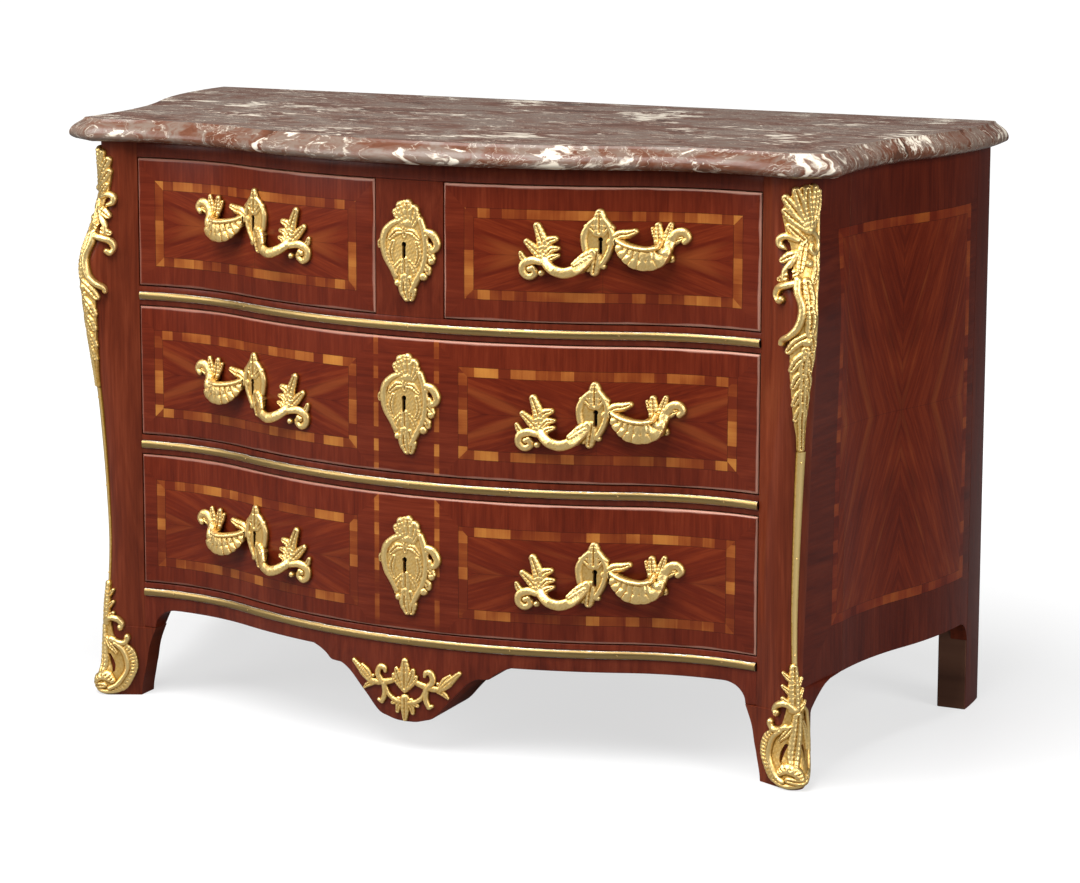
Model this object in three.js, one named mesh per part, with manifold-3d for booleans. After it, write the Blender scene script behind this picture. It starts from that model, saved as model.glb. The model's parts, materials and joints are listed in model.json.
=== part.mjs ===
// Commode chest with a serpentine front: a marble slab on a veneered carcass, two short
// drawers over two long ones, corner stiles that swell and run down into the front feet,
// brass strips along the rails, and fixed gilt mounts.
// Millimetres. X runs to the right, Y to the back, Z up. The origin is on the floor, under
// the middle of the marble's box.

import * as THREE from "three";
import { mergeVertices } from "three/addons/utils/BufferGeometryUtils.js";
import Module from "manifold-3d";

const wasm = await Module();
wasm.setup();

// Overall sizes

const overallWidth = 1330;
const overallDepth = 629;
const overallHeight = 860;

// Clearances: glued or screwed joints, drawers in their openings, mounts on curved wood

const fit = 0.3;
const drawerGap = 1.5;
const runnerGap = 0.3;
const mountSeat = 0.5;
const cornerSink = 2.5;
const cutOverrun = 30;
const glueLap = 1;

// Marble slab and its edge moulding

const marbleThickness = 31;
const marbleOverhang = 26;
const marbleMoulding = 21;
const marbleCantFront = 22;
const marbleCantSide = 5;
const marbleProfileShares = [
  [0.4, 0],
  [0.08, 0.12],
  [0, 0.3],
  [0.14, 0.52],
  [0.43, 0.7],
  [0.82, 0.87],
  [1, 1],
];

// Front plan: a bow in the middle between two scoops, all tangent arcs

const bowRadius = 780;
const scoopRadius = 340;
const scoopFromOpening = 54;

// Side plan: a hollow behind the front corner, then a swell towards the back

const sideSwell = 75;
const hollowBehindFront = 68;
const swellFromBack = 51;

// Front corner stiles, which bulge at the level of the top drawers and kick out at the feet

const stileWidth = 80;
const stileDepth = 115;
const stileSink = 2;
const noseRadius = 34;
const noseSetIn = 26;
const noseSetForward = 2;
const cornerBulge = 31;
const bulgeShares = [
  [0, 0.58],
  [0.015, 0.66],
  [0.032, 0.62],
  [0.055, 0.36],
  [0.095, 0.26],
  [0.155, 0.2],
  [0.21, 0.08],
  [0.28, 0],
  [0.36, 0.05],
  [0.46, 0.19],
  [0.555, 0.39],
  [0.651, 0.74],
  [0.73, 0.95],
  [0.79, 0.98],
  [0.845, 0.5],
  [0.885, 0.14],
  [0.93, 0],
  [1, 0.1],
];
const noseShares = [
  [0, 0.45],
  [0.1, 0.47],
  [0.17, 0.66],
  [0.3, 1],
  [0.5, 0.95],
  [0.66, 0.76],
  [0.78, 0.66],
  [0.9, 0.9],
  [1, 1],
];

// Front feet below the stiles

const sideRailBottom = 135;
const kneeRadius = 38;
const footDepth = 35;
const footTaper = 15;
const shoulderHeight = 104;
const shoulderWidth = 17;
const footInset = 7;
const footLevelShares = [0, 0.1, 0.22, 0.36, 0.55, 0.76];
const kneeLevelShares = [0.3, 0.6, 0.85];
const legEdgeShares = [
  [0, -1],
  [0.11, -0.85],
  [0.41, 0],
  [0.74, 0.41],
  [1, 1],
];

// Rear posts, side boards and back

const postWidth = 43;
const postDepth = 68;
const sideThickness = 24;
const bracketRadius = 30;
const backThickness = 15;
const backBottom = 128;
const boardCount = 3;
const boardJoint = 4;

// Rails, drawer rows and the boards between them

const topRailHeight = 23.2;
const railHeight = 28;
const caseFloor = 172.5;
const topDrawerShare = 0.3275;
const middleDrawerShare = 0.3345;
const railBehindStile = 57;
const dustBoardThickness = 12;
const guideWidth = 20;
const guideHeight = 20;
const centreStileWidth = 103;
const centreStileDepth = 44;
const dividerThickness = 18;

// Apron below the bottom drawer: its lower edge dips to a rounded tongue at the middle

const apronEdge = 133;
const apronOffCentre = -8;
const apronTongueHalf = 156;
const apronTongueDrop = 91.5;
const apronShares = [
  [0, 1],
  [0.1, 0.99],
  [0.19, 0.95],
  [0.26, 0.91],
  [0.32, 0.82],
  [0.385, 0.69],
  [0.475, 0.525],
  [0.577, 0.34],
  [0.673, 0.23],
  [0.75, 0.215],
  [0.8, 0.2],
  [0.853, 0.12],
  [0.93, 0.045],
  [1, 0],
];
const apronKneeRun = 34;
const apronKneeShares = [0, 0.45, 0.75, 0.93, 1];
const apronStationGap = 0.5;

// Brass strips let into the rails

const stripHeight = 12;
const stripGroove = 4;
const stripProud = 4.5;
const stripCrownShare = 0.4;
const apronStripDrop = 14;

// Drawers

const lipRadius = 4;
const lipShares = [
  [0, 1],
  [0.3, 0.3],
  [1, 0],
];
const frontThickness = 22;
const drawerSideThickness = 12;
const drawerSideInset = 4;
const drawerTopClearance = 12;
const drawerBottomThickness = 8;
const drawerBottomRaise = 10;
const bottomBoardGap = 0.7;
const drawerBackClearance = 34;
const guideGap = 1;
const lockWidth = 70;
const lockBelowKeyhole = 18;
const lockDepth = 11;

// Raised work: how a scroll narrows to its crown and tips, and how plates are fluted

const scrollCrownShare = 0.5;
const scrollTipShare = 0.45;
const plateEdgeShare = 0.4;
const fluteShare = 0.86;
const flatColumnShares = [0, 0.28, 0.72, 1];
const noseColumnShares = [0, 0.2, 0.4, 0.6, 0.8, 1];

// Gilt drawer pulls: a keyhole cartouche between two arms that stand off the wood

const shortPullLift = 17;
const pullReach = 110;
const pullRise = 42;
const pullStem = 6;
const pullRelief = 8;
const pullStandOff = 19;
const pullPlateShares = [
  [0.98, -0.05, 0.03],
  [0.7, -0.16, 0.1],
  [0.2, -0.23, 0.19],
  [-0.25, -0.22, 0.17],
  [-0.55, -0.2, 0.08],
  [-0.92, -0.14, -0.07],
];
const pullScrollShares = [
  {
    spine: [[-0.17, -0.4], [-0.28, -0.68], [-0.43, -0.92], [-0.6, -0.86], [-0.7, -0.5], [-0.73, -0.1]],
    width: [0.8, 0.75, 0.95, 1, 1.05, 1.2],
    lift: [0.05, 0.6, 1, 0.95, 0.45, 0],
  },
  {
    spine: [[-0.7, -0.3], [-0.74, 0.2], [-0.74, 0.82]],
    width: [1.5, 1.5, 0.4],
    lift: [0.2, 0, 0.15],
  },
  {
    spine: [[-0.72, -0.15], [-0.79, 0.12], [-0.89, 0.34]],
    width: [1.1, 0.9, 0.3],
    lift: [0, 0, 0.1],
  },
  {
    spine: [[-0.7, -0.1], [-0.63, 0.22], [-0.51, 0.3]],
    width: [1.1, 0.9, 0.35],
    lift: [0, 0, 0.1],
  },
  {
    spine: [[-0.74, -0.42], [-0.87, -0.28], [-0.95, -0.5], [-0.91, -0.86]],
    width: [0.8, 1, 1.3, 0.9],
    lift: [0.1, 0, 0, 0.1],
  },
  {
    spine: [[0.15, 0.05], [0.25, 0.3], [0.36, 0.4]],
    width: [1.1, 1, 0.6],
    lift: [0, 0, 0],
  },
  {
    spine: [[0.15, -0.2], [0.27, -0.5], [0.46, -0.62], [0.63, -0.45], [0.7, -0.1]],
    width: [1.3, 1.8, 2, 1.7, 1.2],
    lift: [0, 0.7, 1, 0.6, 0],
  },
  {
    spine: [[0.68, -0.25], [0.67, 0.15], [0.62, 0.6]],
    width: [1.3, 1.1, 0.6],
    lift: [0.1, 0, 0],
  },
  {
    spine: [[0.68, -0.3], [0.78, 0.05], [0.88, 0.42], [0.97, 0.3], [0.96, 0.02]],
    width: [1.2, 1, 0.9, 0.8, 0.5],
    lift: [0.1, 0, 0, 0, 0],
  },
];

// Keyhole plates of the long drawers, and the matching dummy on the centre stile

const plateHalf = 44;
const plateRise = 68;
const plateRelief = 8;
const plateEdgeShares = [
  [0.97, -0.1, 0.12],
  [0.88, -0.34, 0.34],
  [0.76, -0.52, 0.4],
  [0.6, -0.4, 0.46],
  [0.48, -0.6, 0.48],
  [0.33, -0.84, 0.78],
  [0.14, -0.94, 0.98],
  [-0.06, -0.92, 0.94],
  [-0.24, -0.78, 0.76],
  [-0.42, -0.5, 0.72],
  [-0.53, -0.46, 0.58],
  [-0.62, -0.36, 0.46],
  [-0.7, -0.4, 0.36],
  [-0.84, -0.26, 0.28],
  [-1.02, -0.04, 0.12],
];
const keyholeRadius = 4.2;
const keyholeSlot = 4.4;
const keyholeDrop = 15;
const longFittingsOffCentre = -5;
const middlePlateLift = 6;

// Apron mount: a palmette between leafy wings, over a pendant

const wingReach = 86.8;
const wingRise = 41;
const apronMountHeight = 87;
const apronMountRelief = 6;
const wingStem = 5;
const wingShares = [
  {
    spine: [[0, 0.1], [0, 0.5], [0, 1]],
    width: [1.4, 2.6, 0.9],
  },
  {
    spine: [[0.05, 0.35], [0.25, 0.15], [0.5, 0.08], [0.78, 0.28], [0.98, 0.8]],
    width: [1.2, 1.4, 1.6, 1.2, 0.5],
  },
  {
    spine: [[0.45, 0.1], [0.37, 0.4], [0.45, 0.72]],
    width: [1.2, 0.9, 0.7],
  },
  {
    spine: [[0.5, 0.1], [0.42, -0.15], [0.46, -0.44]],
    width: [1.2, 0.9, 0.8],
  },
  {
    spine: [[0.6, 0.1], [0.72, 0], [0.7, -0.14]],
    width: [0.9, 0.7, 0.6],
  },
  {
    spine: [[0.38, 0.1], [0.32, -0.25], [0.14, -0.5], [0, -0.54]],
    width: [1, 0.9, 0.9, 1.1],
  },
];
const pendantShares = [
  {
    spine: [[0, -0.45], [0, -0.75], [0, -1]],
    width: [2, 1.3, 0.7],
  },
];

// Corner mounts: a leafy chute over a thin fillet, and a sabot at the foot

const chuteBelowSlab = 8.7;
const chuteFootShare = 0.56;
const chuteReach = 45;
const chuteRelief = 10;
const chuteRowShares = [
  [0, -0.1, 0.66],
  [0.04, -0.55, 0.62],
  [0.1, -0.64, 0.7],
  [0.17, -0.48, 0.72],
  [0.22, -0.66, 0.68],
  [0.255, -0.5, 0.62],
  [0.3, -0.8, 0.56],
  [0.335, -0.55, 0.46],
  [0.36, -0.9, 0.4],
  [0.4, -0.48, 0.3],
  [0.46, -0.45, 0.2],
  [0.53, -0.52, 0.18],
  [0.565, -0.8, 0.18],
  [0.62, -0.7, 0.24],
  [0.66, -0.52, 0.17],
  [0.73, -0.6, 0.14],
  [0.8, -0.38, 0.16],
  [0.85, -0.44, 0.12],
  [0.9, -0.3, 0.12],
  [1, -0.16, 0.12],
];
const chuteHoleShares = [
  [0.236, -0.36],
  [0.343, -0.42],
];
const chuteHoleRadius = 3.2;
const chuteCurlShares = {
  spine: [[-0.5, 0.375], [-0.8, 0.355], [-1.08, 0.395], [-0.96, 0.43]],
  width: [1, 0.9, 0.8, 0.7],
};
const curlStem = 5;
const filletTopWidth = 14;
const filletFootWidth = 8;
const filletRelief = 4;
const filletShares = [
  [-1, 0],
  [0, 0],
  [1, 0],
  [0.6, 0.8],
  [0, 1],
  [-0.6, 0.8],
];
const sabotHeight = 167;
const sabotLift = 1;
const sabotReach = 50;
const sabotRelief = 8;
const sabotRowShares = [
  [0, -0.3, 0.12],
  [0.05, -0.8, 0.26],
  [0.09, -1, 0.34],
  [0.16, -1.08, 0.56],
  [0.25, -0.98, 0.62],
  [0.35, -0.88, 0.63],
  [0.42, -0.74, 0.62],
  [0.49, -0.5, 0.6],
  [0.55, -0.34, 0.56],
  [0.62, -0.32, 0.42],
  [0.69, -0.24, 0.32],
  [0.73, -0.28, 0.2],
  [0.78, -0.18, 0.18],
  [0.82, -0.3, 0.16],
  [0.88, -0.2, 0.16],
  [0.95, -0.28, 0.12],
  [1, -0.14, 0.08],
];
const sabotCurlShares = [
  {
    spine: [[-0.2, 0.69], [-0.42, 0.7], [-0.58, 0.65], [-0.52, 0.6]],
    width: [0.9, 0.9, 0.8, 0.7],
  },
  {
    spine: [[-0.5, 0.44], [-0.72, 0.47], [-0.74, 0.53]],
    width: [1, 0.9, 0.8],
  },
];

// Smoothness of curved stretches

const bowStep = 60;
const scoopStep = 31;
const gridMargin = 3;
const sideStep = 45;
const levelStep = 33;
const noseSteps = 4;
const postFacets = 3;
const bracketFacets = 4;
const eyeFacets = 12;
const holeFacets = 8;
const curlFacets = 5;

// Places worked out from the sizes above

const backY = overallDepth / 2;
const bowY = marbleOverhang - overallDepth / 2;
const bodyHalf = overallWidth / 2 - marbleOverhang;
const hollowHalf = bodyHalf - sideSwell;
const openingHalf = hollowHalf - stileWidth;
const scoopHalf = openingHalf - scoopFromOpening;
const bowCentreY = bowY + bowRadius;
const arcSum = bowRadius + scoopRadius;
const scoopCentreY = bowCentreY - Math.sqrt(arcSum ** 2 - scoopHalf ** 2);
const stileFrontY = scoopCentreY + Math.sqrt(scoopRadius ** 2 - scoopFromOpening ** 2);
const hollowY = stileFrontY + hollowBehindFront;
const swellY = backY - swellFromBack;
const sideRun = swellY - hollowY;
const sideRadius = (sideSwell ** 2 + sideRun ** 2) / (4 * sideSwell);
const stileRearY = stileFrontY + stileDepth;
const railBackY = stileFrontY + railBehindStile;
const footRearY = stileFrontY + footDepth;
const postFrontY = backY - postDepth;
const postInner = bodyHalf - postWidth;
const backFaceY = backY - backThickness;
const noseX = hollowHalf - noseSetIn;
const noseY = stileFrontY - noseSetForward;

const carcassTop = overallHeight - marbleThickness - fit;
const chuteTop = carcassTop - chuteBelowSlab;
const chuteLength = chuteTop - carcassTop * chuteFootShare;
const topOpeningTop = carcassTop - topRailHeight;
const frontsHeight = topOpeningTop - caseFloor - 2 * railHeight - 6 * drawerGap;
const topDrawerHeight = frontsHeight * topDrawerShare;
const middleDrawerHeight = frontsHeight * middleDrawerShare;
const bottomDrawerHeight = frontsHeight - topDrawerHeight - middleDrawerHeight;
const topOpeningBottom = topOpeningTop - topDrawerHeight - 2 * drawerGap;
const middleOpeningTop = topOpeningBottom - railHeight;
const middleOpeningBottom = middleOpeningTop - middleDrawerHeight - 2 * drawerGap;
const bottomOpeningTop = middleOpeningBottom - railHeight;
const drawerHalf = openingHalf - drawerGap;
const centreHalf = centreStileWidth / 2;
const pullFromCentre = (centreHalf + drawerGap + drawerHalf) / 2;
const drawerBackY = backFaceY - drawerBackClearance;

// Finishes

const finish = (color, roughness, metalness) =>
  new THREE.MeshStandardMaterial({ color, roughness, metalness });
const marble = finish(0x84695f, 0.25, 0);
const veneer = finish(0x6a2c1c, 0.3, 0);
const darkVeneer = finish(0x47191a, 0.32, 0);
const oak = finish(0x9a7248, 0.7, 0);
const gilt = finish(0xd6b45a, 0.3, 1);
const brass = finish(0xb39350, 0.4, 1);
const iron = finish(0x4a4640, 0.5, 1);

const commode = new THREE.Group();

function addPiece(name, geometry, material) {
  const piece = new THREE.Mesh(geometry, material);
  piece.name = name;
  commode.add(piece);
  return piece;
}

// Plan curves of the front and the sides, each pushed out by a given distance

function frontY(x, out = 0) {
  const reach = Math.abs(x);
  const turn = (scoopHalf * (bowRadius + out)) / arcSum;
  if (reach <= turn) return bowCentreY - Math.sqrt((bowRadius + out) ** 2 - reach ** 2);
  return scoopCentreY + Math.sqrt((scoopRadius - out) ** 2 - (reach - scoopHalf) ** 2);
}

function sideX(y, out = 0) {
  const turn = hollowY + (sideRun * (sideRadius - out)) / (2 * sideRadius);
  if (y <= turn) {
    const dip = Math.sqrt((sideRadius - out) ** 2 - (y - hollowY) ** 2);
    return hollowHalf + sideRadius - dip;
  }
  return bodyHalf - sideRadius + Math.sqrt((sideRadius + out) ** 2 - (y - swellY) ** 2);
}

// Evenly spaced values between two ends, no further apart than a given step

function spread(from, to, step) {
  const count = Math.max(1, Math.ceil(Math.abs(to - from) / step));
  return Array.from({ length: count + 1 }, (_, i) => from + ((to - from) * i) / count);
}

// One grid of stations across the front, closer together where the scoops curve tightly

const turnX = (scoopHalf * bowRadius) / arcSum;
const frontGrid = [
  ...spread(-openingHalf, -turnX, scoopStep),
  ...spread(-turnX, turnX, bowStep).slice(1, -1),
  ...spread(turnX, openingHalf, scoopStep),
];

function frontStations(from, to) {
  return [from, ...frontGrid.filter((x) => x > from + gridMargin && x < to - gridMargin), to];
}

// The front as its facets run between the stations

function facetY(x, out) {
  const i = Math.max(1, frontGrid.findIndex((station) => station >= x));
  const [a, b] = [frontGrid[i - 1], frontGrid[i]];
  return frontY(a, out) + ((frontY(b, out) - frontY(a, out)) * (x - a)) / (b - a);
}

// A smooth value read from a table of [place, value] rows

function smoothRead(table, place) {
  const last = table.length - 1;
  if (place <= table[0][0]) return table[0][1];
  if (place >= table[last][0]) return table[last][1];
  const i = table.findIndex((row) => row[0] > place) - 1;
  const slope = (a, b) => (table[b][1] - table[a][1]) / (table[b][0] - table[a][0]);
  const span = table[i + 1][0] - table[i][0];
  const before = slope(Math.max(i - 1, 0), i + 1) * span;
  const after = slope(i, Math.min(i + 2, last)) * span;
  const t = (place - table[i][0]) / span;
  const rise = table[i + 1][1] - table[i][1];
  const curve = (t - t ** 2) * (before * (1 - t) - after * t);
  return table[i][1] + rise * (3 * t ** 2 - 2 * t ** 3) + curve;
}

// Skin over a row of rings that have the same number of points, with flat ends

function capFaces(ring, offset) {
  const points = ring.map((p) => new THREE.Vector3(...p));
  const normal = new THREE.Vector3();
  points.forEach((p, i) => normal.add(p.clone().cross(points[(i + 1) % points.length])));
  normal.normalize();
  const helper = Math.abs(normal.z) < 0.9 ? new THREE.Vector3(0, 0, 1) : new THREE.Vector3(1, 0, 0);
  const across = helper.cross(normal).normalize();
  const up = normal.clone().cross(across);
  const flat = points.map((p) => new THREE.Vector2(p.dot(across), p.dot(up)));
  return THREE.ShapeUtils.triangulateShape(flat, []).map((face) => face.map((i) => i + offset));
}

function skin(rings) {
  const count = rings[0].length;
  const faces = [];
  for (let r = 0; r + 1 < rings.length; r += 1) {
    for (let i = 0; i < count; i += 1) {
      const j = (i + 1) % count;
      const [a, b] = [r * count + i, r * count + j];
      faces.push([a, b, b + count], [a, b + count, a + count]);
    }
  }
  capFaces(rings[0], 0).forEach(([a, b, c]) => faces.push([c, b, a]));
  faces.push(...capFaces(rings[rings.length - 1], (rings.length - 1) * count));
  const spots = rings.flat();
  let volume = 0;
  for (const [a, b, c] of faces) {
    const [p, q, s] = [a, b, c].map((i) => new THREE.Vector3(...spots[i]));
    volume += p.dot(q.cross(s));
  }
  const outward = volume > 0 ? faces : faces.map(([a, b, c]) => [c, b, a]);
  const geometry = new THREE.BufferGeometry();
  geometry.setAttribute("position", new THREE.Float32BufferAttribute(spots.flat(), 3));
  geometry.setIndex(outward.flat());
  return geometry;
}

// A flat plan outline given thickness between two heights

function slab(outline, low, high) {
  return skin([low, high].map((z) => outline.map(([x, y]) => [x, y, z])));
}

function block(lowX, highX, lowY, highY, lowZ, highZ) {
  return slab([[lowX, lowY], [highX, lowY], [highX, highY], [lowX, highY]], lowZ, highZ);
}

// Solids for joining and cutting

function toSolid(geometry) {
  const bare = geometry.clone();
  bare.deleteAttribute("normal");
  bare.deleteAttribute("uv");
  const merged = mergeVertices(bare);
  return new wasm.Manifold(
    new wasm.Mesh({
      numProp: 3,
      vertProperties: merged.attributes.position.array,
      triVerts: new Uint32Array(merged.index.array),
    }),
  );
}

function toGeometry(solid) {
  const { vertProperties, triVerts } = solid.getMesh();
  const geometry = new THREE.BufferGeometry();
  geometry.setAttribute("position", new THREE.BufferAttribute(vertProperties, 3));
  geometry.setIndex(new THREE.BufferAttribute(triVerts, 1));
  return geometry;
}

function joined(geometries) {
  return geometries.map(toSolid).reduce((whole, piece) => whole.add(piece));
}

const bothSides = [
  ["left", -1],
  ["right", 1],
];

// Marble slab: the moulding runs round the front and both sides, and the back edge is flat

const marbleCornerX = hollowHalf - marbleCantFront;
const marbleCornerY = stileFrontY - marbleCantSide;
const marbleFront = frontStations(-marbleCornerX, marbleCornerX);
const marbleSide = spread(marbleCornerY, backY, sideStep);

function marbleRing([insetShare, heightShare]) {
  const inset = insetShare * marbleMoulding;
  const out = marbleOverhang - inset;
  const z = carcassTop + fit + heightShare * marbleThickness;
  const mitre = inset * Math.tan(Math.PI / 8);
  const front = marbleFront.map((x) => x * (1 - mitre / marbleCornerX));
  const side = marbleSide.map((y) => y + (mitre * (backY - y)) / (backY - marbleCornerY));
  return [
    ...front.map((x) => [x, frontY(x, out), z]),
    ...side.map((y) => [sideX(y, out), y, z]),
    ...side.toReversed().map((y) => [-sideX(y, out), y, z]),
  ];
}

addPiece("marble_top", skin(marbleProfileShares.map(marbleRing)), marble);

// Corner stiles: at each level a rounded nose joins a flank to the front and one to the side

function cornerSection(z) {
  const level = z / carcassTop;
  const radius = noseRadius * smoothRead(noseShares, level);
  const push = (cornerBulge * smoothRead(bulgeShares, level) - radius) * Math.SQRT1_2;
  const centre = [noseX + push, noseY - push];
  const onFoot = Math.min(1, Math.max(0, (sideRailBottom - z) / kneeRadius));
  const knee = kneeRadius * (1 - Math.sqrt(1 - (1 - onFoot) ** 2));
  const rearY = z > sideRailBottom ? stileRearY : footRearY + knee;
  const rear = [sideX(rearY) - footTaper * onFoot, rearY];
  const legEdge = smoothRead(legEdgeShares, z / shoulderHeight);
  const widened = legEdge > 0 ? -legEdge * shoulderWidth : -legEdge * footInset;
  const innerX = openingHalf + (z > shoulderHeight ? 0 : widened);
  const inner = [innerX, frontY(innerX, -stileSink)];
  const towards = ([x, y]) => ({
    angle: Math.atan2(y - centre[1], x - centre[0]),
    spread: Math.acos(Math.min(1, radius / Math.hypot(x - centre[0], y - centre[1]))),
  });
  const [toInner, toRear] = [towards(inner), towards(rear)];
  const innerAngle = toInner.angle - (toInner.angle > 0 ? 2 * Math.PI : 0);
  const from = innerAngle + toInner.spread;
  const to = toRear.angle - toRear.spread;
  return { centre, radius, from, to, inner, rear };
}

function cornerRing(z, hand, grow = 0) {
  const { centre, radius, from, to, inner, rear } = cornerSection(z);
  const nose = Array.from({ length: noseSteps + 1 }, (_, i) => {
    const angle = from + ((to - from) * i) / noseSteps;
    const reach = radius + grow;
    return [centre[0] + reach * Math.cos(angle), centre[1] + reach * Math.sin(angle)];
  });
  const pushed = ([x, y], angle) => [x + grow * Math.cos(angle), y + grow * Math.sin(angle)];
  const ring = [pushed(inner, from), ...nose, pushed(rear, to), [inner[0], rear[1]]];
  return ring.map(([x, y]) => [hand * x, y, z]);
}

// A spot on a corner: how far round from the nose, how high, and how far off the wood

function onCorner(hand) {
  return (round, z, out) => {
    const { centre, radius, from, to } = cornerSection(z);
    const wished = round / radius - Math.PI / 4;
    const angle = Math.min(to, Math.max(from, wished));
    const along = (wished - angle) * radius;
    const [cos, sin] = [Math.cos(angle), Math.sin(angle)];
    const x = centre[0] + (radius + out) * cos - along * sin;
    const y = centre[1] + (radius + out) * sin + along * cos;
    return [hand * x, y, z];
  };
}

const kneeLevels = kneeLevelShares.map((share) => sideRailBottom - kneeRadius * (1 - share));
const stileLevels = [
  ...footLevelShares.map((share) => share * shoulderHeight),
  sideRailBottom - kneeRadius,
  shoulderHeight,
  shoulderHeight + fit,
  ...kneeLevels.filter((z) => z > shoulderHeight + fit),
  sideRailBottom,
  ...spread(sideRailBottom + fit, carcassTop, levelStep),
].sort((a, b) => a - b);

for (const [side, hand] of bothSides) {
  addPiece(`${side}_front_stile`, skin(stileLevels.map((z) => cornerRing(z, hand))), veneer);
}

// Rear posts, straight down to the floor

for (const [side, hand] of bothSides) {
  const outer = spread(postFrontY, backY, postDepth / postFacets).map((y) => [hand * sideX(y), y]);
  const outline = [[hand * postInner, postFrontY], ...outer, [hand * postInner, backY]];
  addPiece(`${side}_rear_post`, slab(outline, 0, carcassTop), darkVeneer);
}

// Side boards between stile and post, with a small curved bracket against the post

const [sideNear, sideFar] = [stileRearY + fit, postFrontY - fit];
const bracketStart = sideFar - bracketRadius;
const sideYs = spread(sideNear, bracketStart, sideStep);
const bracketYs = spread(bracketStart, sideFar, bracketRadius / bracketFacets).slice(1);

for (const [side, hand] of bothSides) {
  const rings = [...sideYs, ...bracketYs].map((y) => {
    const run = Math.max(0, y - bracketStart);
    const drop = bracketRadius - Math.sqrt(bracketRadius ** 2 - run ** 2);
    const low = sideRailBottom + fit - drop;
    const [outer, inner] = [hand * sideX(y), hand * sideX(y, -sideThickness)];
    return [[outer, y, low], [outer, y, carcassTop], [inner, y, carcassTop], [inner, y, low]];
  });
  addPiece(`${side}_side_board`, skin(rings), veneer);
}

// Back: boards laid level between the posts, with a small bevel along each joint

const boardHeight = (carcassTop - backBottom) / boardCount;
const joints = Array.from({ length: boardCount - 1 }, (_, i) => backBottom + boardHeight * (i + 1));
const backSection = [
  [backFaceY, backBottom],
  [backY, backBottom],
  ...joints.flatMap((z) => [
    [backY, z - boardJoint],
    [backY - boardJoint, z],
    [backY, z + boardJoint],
  ]),
  [backY, carcassTop],
  [backFaceY, carcassTop],
];
const backRings = [-1, 1].map((hand) => backSection.map(([y, z]) => [hand * (postInner - fit), y, z]));
addPiece("back_boards", skin(backRings), oak);

// Rails across the front: the face follows the front plan, the back edge is straight

function acrossFront(stations, sectionAt) {
  return skin(stations.map((x) => sectionAt(x).map(([y, z]) => [x, y, z])));
}

function railSection(x, low, high, grooveMiddle) {
  const face = facetY(x, -stileSink);
  const groove = facetY(x, -stileSink - stripGroove);
  const reach = stripHeight / 2 + fit;
  return [
    [railBackY, low],
    [face, low],
    [face, grooveMiddle - reach],
    [groove, grooveMiddle - reach],
    [groove, grooveMiddle + reach],
    [face, grooveMiddle + reach],
    [face, high],
    [railBackY, high],
  ];
}

const railHalf = openingHalf - fit;
const railStations = frontStations(-railHalf, railHalf);

const topRail = acrossFront(railStations, (x) => {
  const face = facetY(x, -stileSink);
  return [[railBackY, topOpeningTop], [face, topOpeningTop], [face, carcassTop], [railBackY, carcassTop]];
});
addPiece("top_front_rail", topRail, darkVeneer);

const railRows = [
  ["upper", middleOpeningTop, topOpeningBottom],
  ["lower", bottomOpeningTop, middleOpeningBottom],
];
for (const [row, low, high] of railRows) {
  const rail = acrossFront(railStations, (x) => railSection(x, low, high, (low + high) / 2));
  addPiece(`${row}_drawer_rail`, rail, darkVeneer);
}

// Apron rail: its ends stand on the shoulders of the feet, and the middle dips to a tongue

const apronStripMiddle = caseFloor - apronStripDrop;
const shoulderTop = shoulderHeight + 2 * fit;
const apronKneeHalf = openingHalf - shoulderWidth - apronKneeRun;

function apronBottom(x) {
  const onTongue = Math.abs(x - apronOffCentre) / apronTongueHalf;
  if (onTongue < 1) return apronEdge - apronTongueDrop * smoothRead(apronShares, onTongue);
  const reach = Math.abs(x);
  if (reach < apronKneeHalf) return apronEdge;
  const share = Math.min(1, (reach - apronKneeHalf) / apronKneeRun);
  return shoulderTop + (apronEdge - shoulderTop) * Math.sqrt(1 - share ** 2);
}

const tongueReach = apronShares.map(([share]) => share * apronTongueHalf);
const tongueXs = tongueReach.flatMap((reach) => [apronOffCentre - reach, apronOffCentre + reach]);
const kneeXs = apronKneeShares.map((share) => apronKneeHalf + apronKneeRun * share);
const shapedXs = [...tongueXs, ...[...kneeXs, railHalf].flatMap((x) => [-x, x])];
const apart = (x) => shapedXs.every((shaped) => Math.abs(x - shaped) > apronStationGap);
const apronStations = [...new Set([...shapedXs, ...railStations.filter(apart)])].sort((a, b) => a - b);
const apronRail = acrossFront(apronStations, (x) =>
  railSection(x, apronBottom(x), caseFloor, apronStripMiddle),
);
addPiece("apron_rail", apronRail, darkVeneer);

// Half-round brass strips in the grooves of the three rails

function stripSection(x, middle) {
  const seat = -stileSink - stripGroove + fit;
  const half = stripHeight / 2;
  const crown = stripProud - stileSink;
  return [
    [facetY(x, seat), middle - half],
    [facetY(x, -stileSink), middle - half],
    [facetY(x, crown), middle - half * stripCrownShare],
    [facetY(x, crown), middle + half * stripCrownShare],
    [facetY(x, -stileSink), middle + half],
    [facetY(x, seat), middle + half],
  ];
}

const stripRows = [
  ["upper", (middleOpeningTop + topOpeningBottom) / 2],
  ["lower", (bottomOpeningTop + middleOpeningBottom) / 2],
  ["apron", apronStripMiddle],
];
for (const [row, middle] of stripRows) {
  const strip = acrossFront(railStations, (x) => stripSection(x, middle));
  addPiece(`${row}_brass_strip`, strip, brass);
}

// Centre stile between the short drawers, and the divider that guides them behind it

const centreStile = acrossFront(frontStations(-centreHalf, centreHalf), (x) => {
  const [face, rear] = [facetY(x, -stileSink), bowY + centreStileDepth];
  const [low, high] = [topOpeningBottom + fit, topOpeningTop - fit];
  return [[rear, low], [face, low], [face, high], [rear, high]];
});
addPiece("centre_stile", centreStile, darkVeneer);

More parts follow.
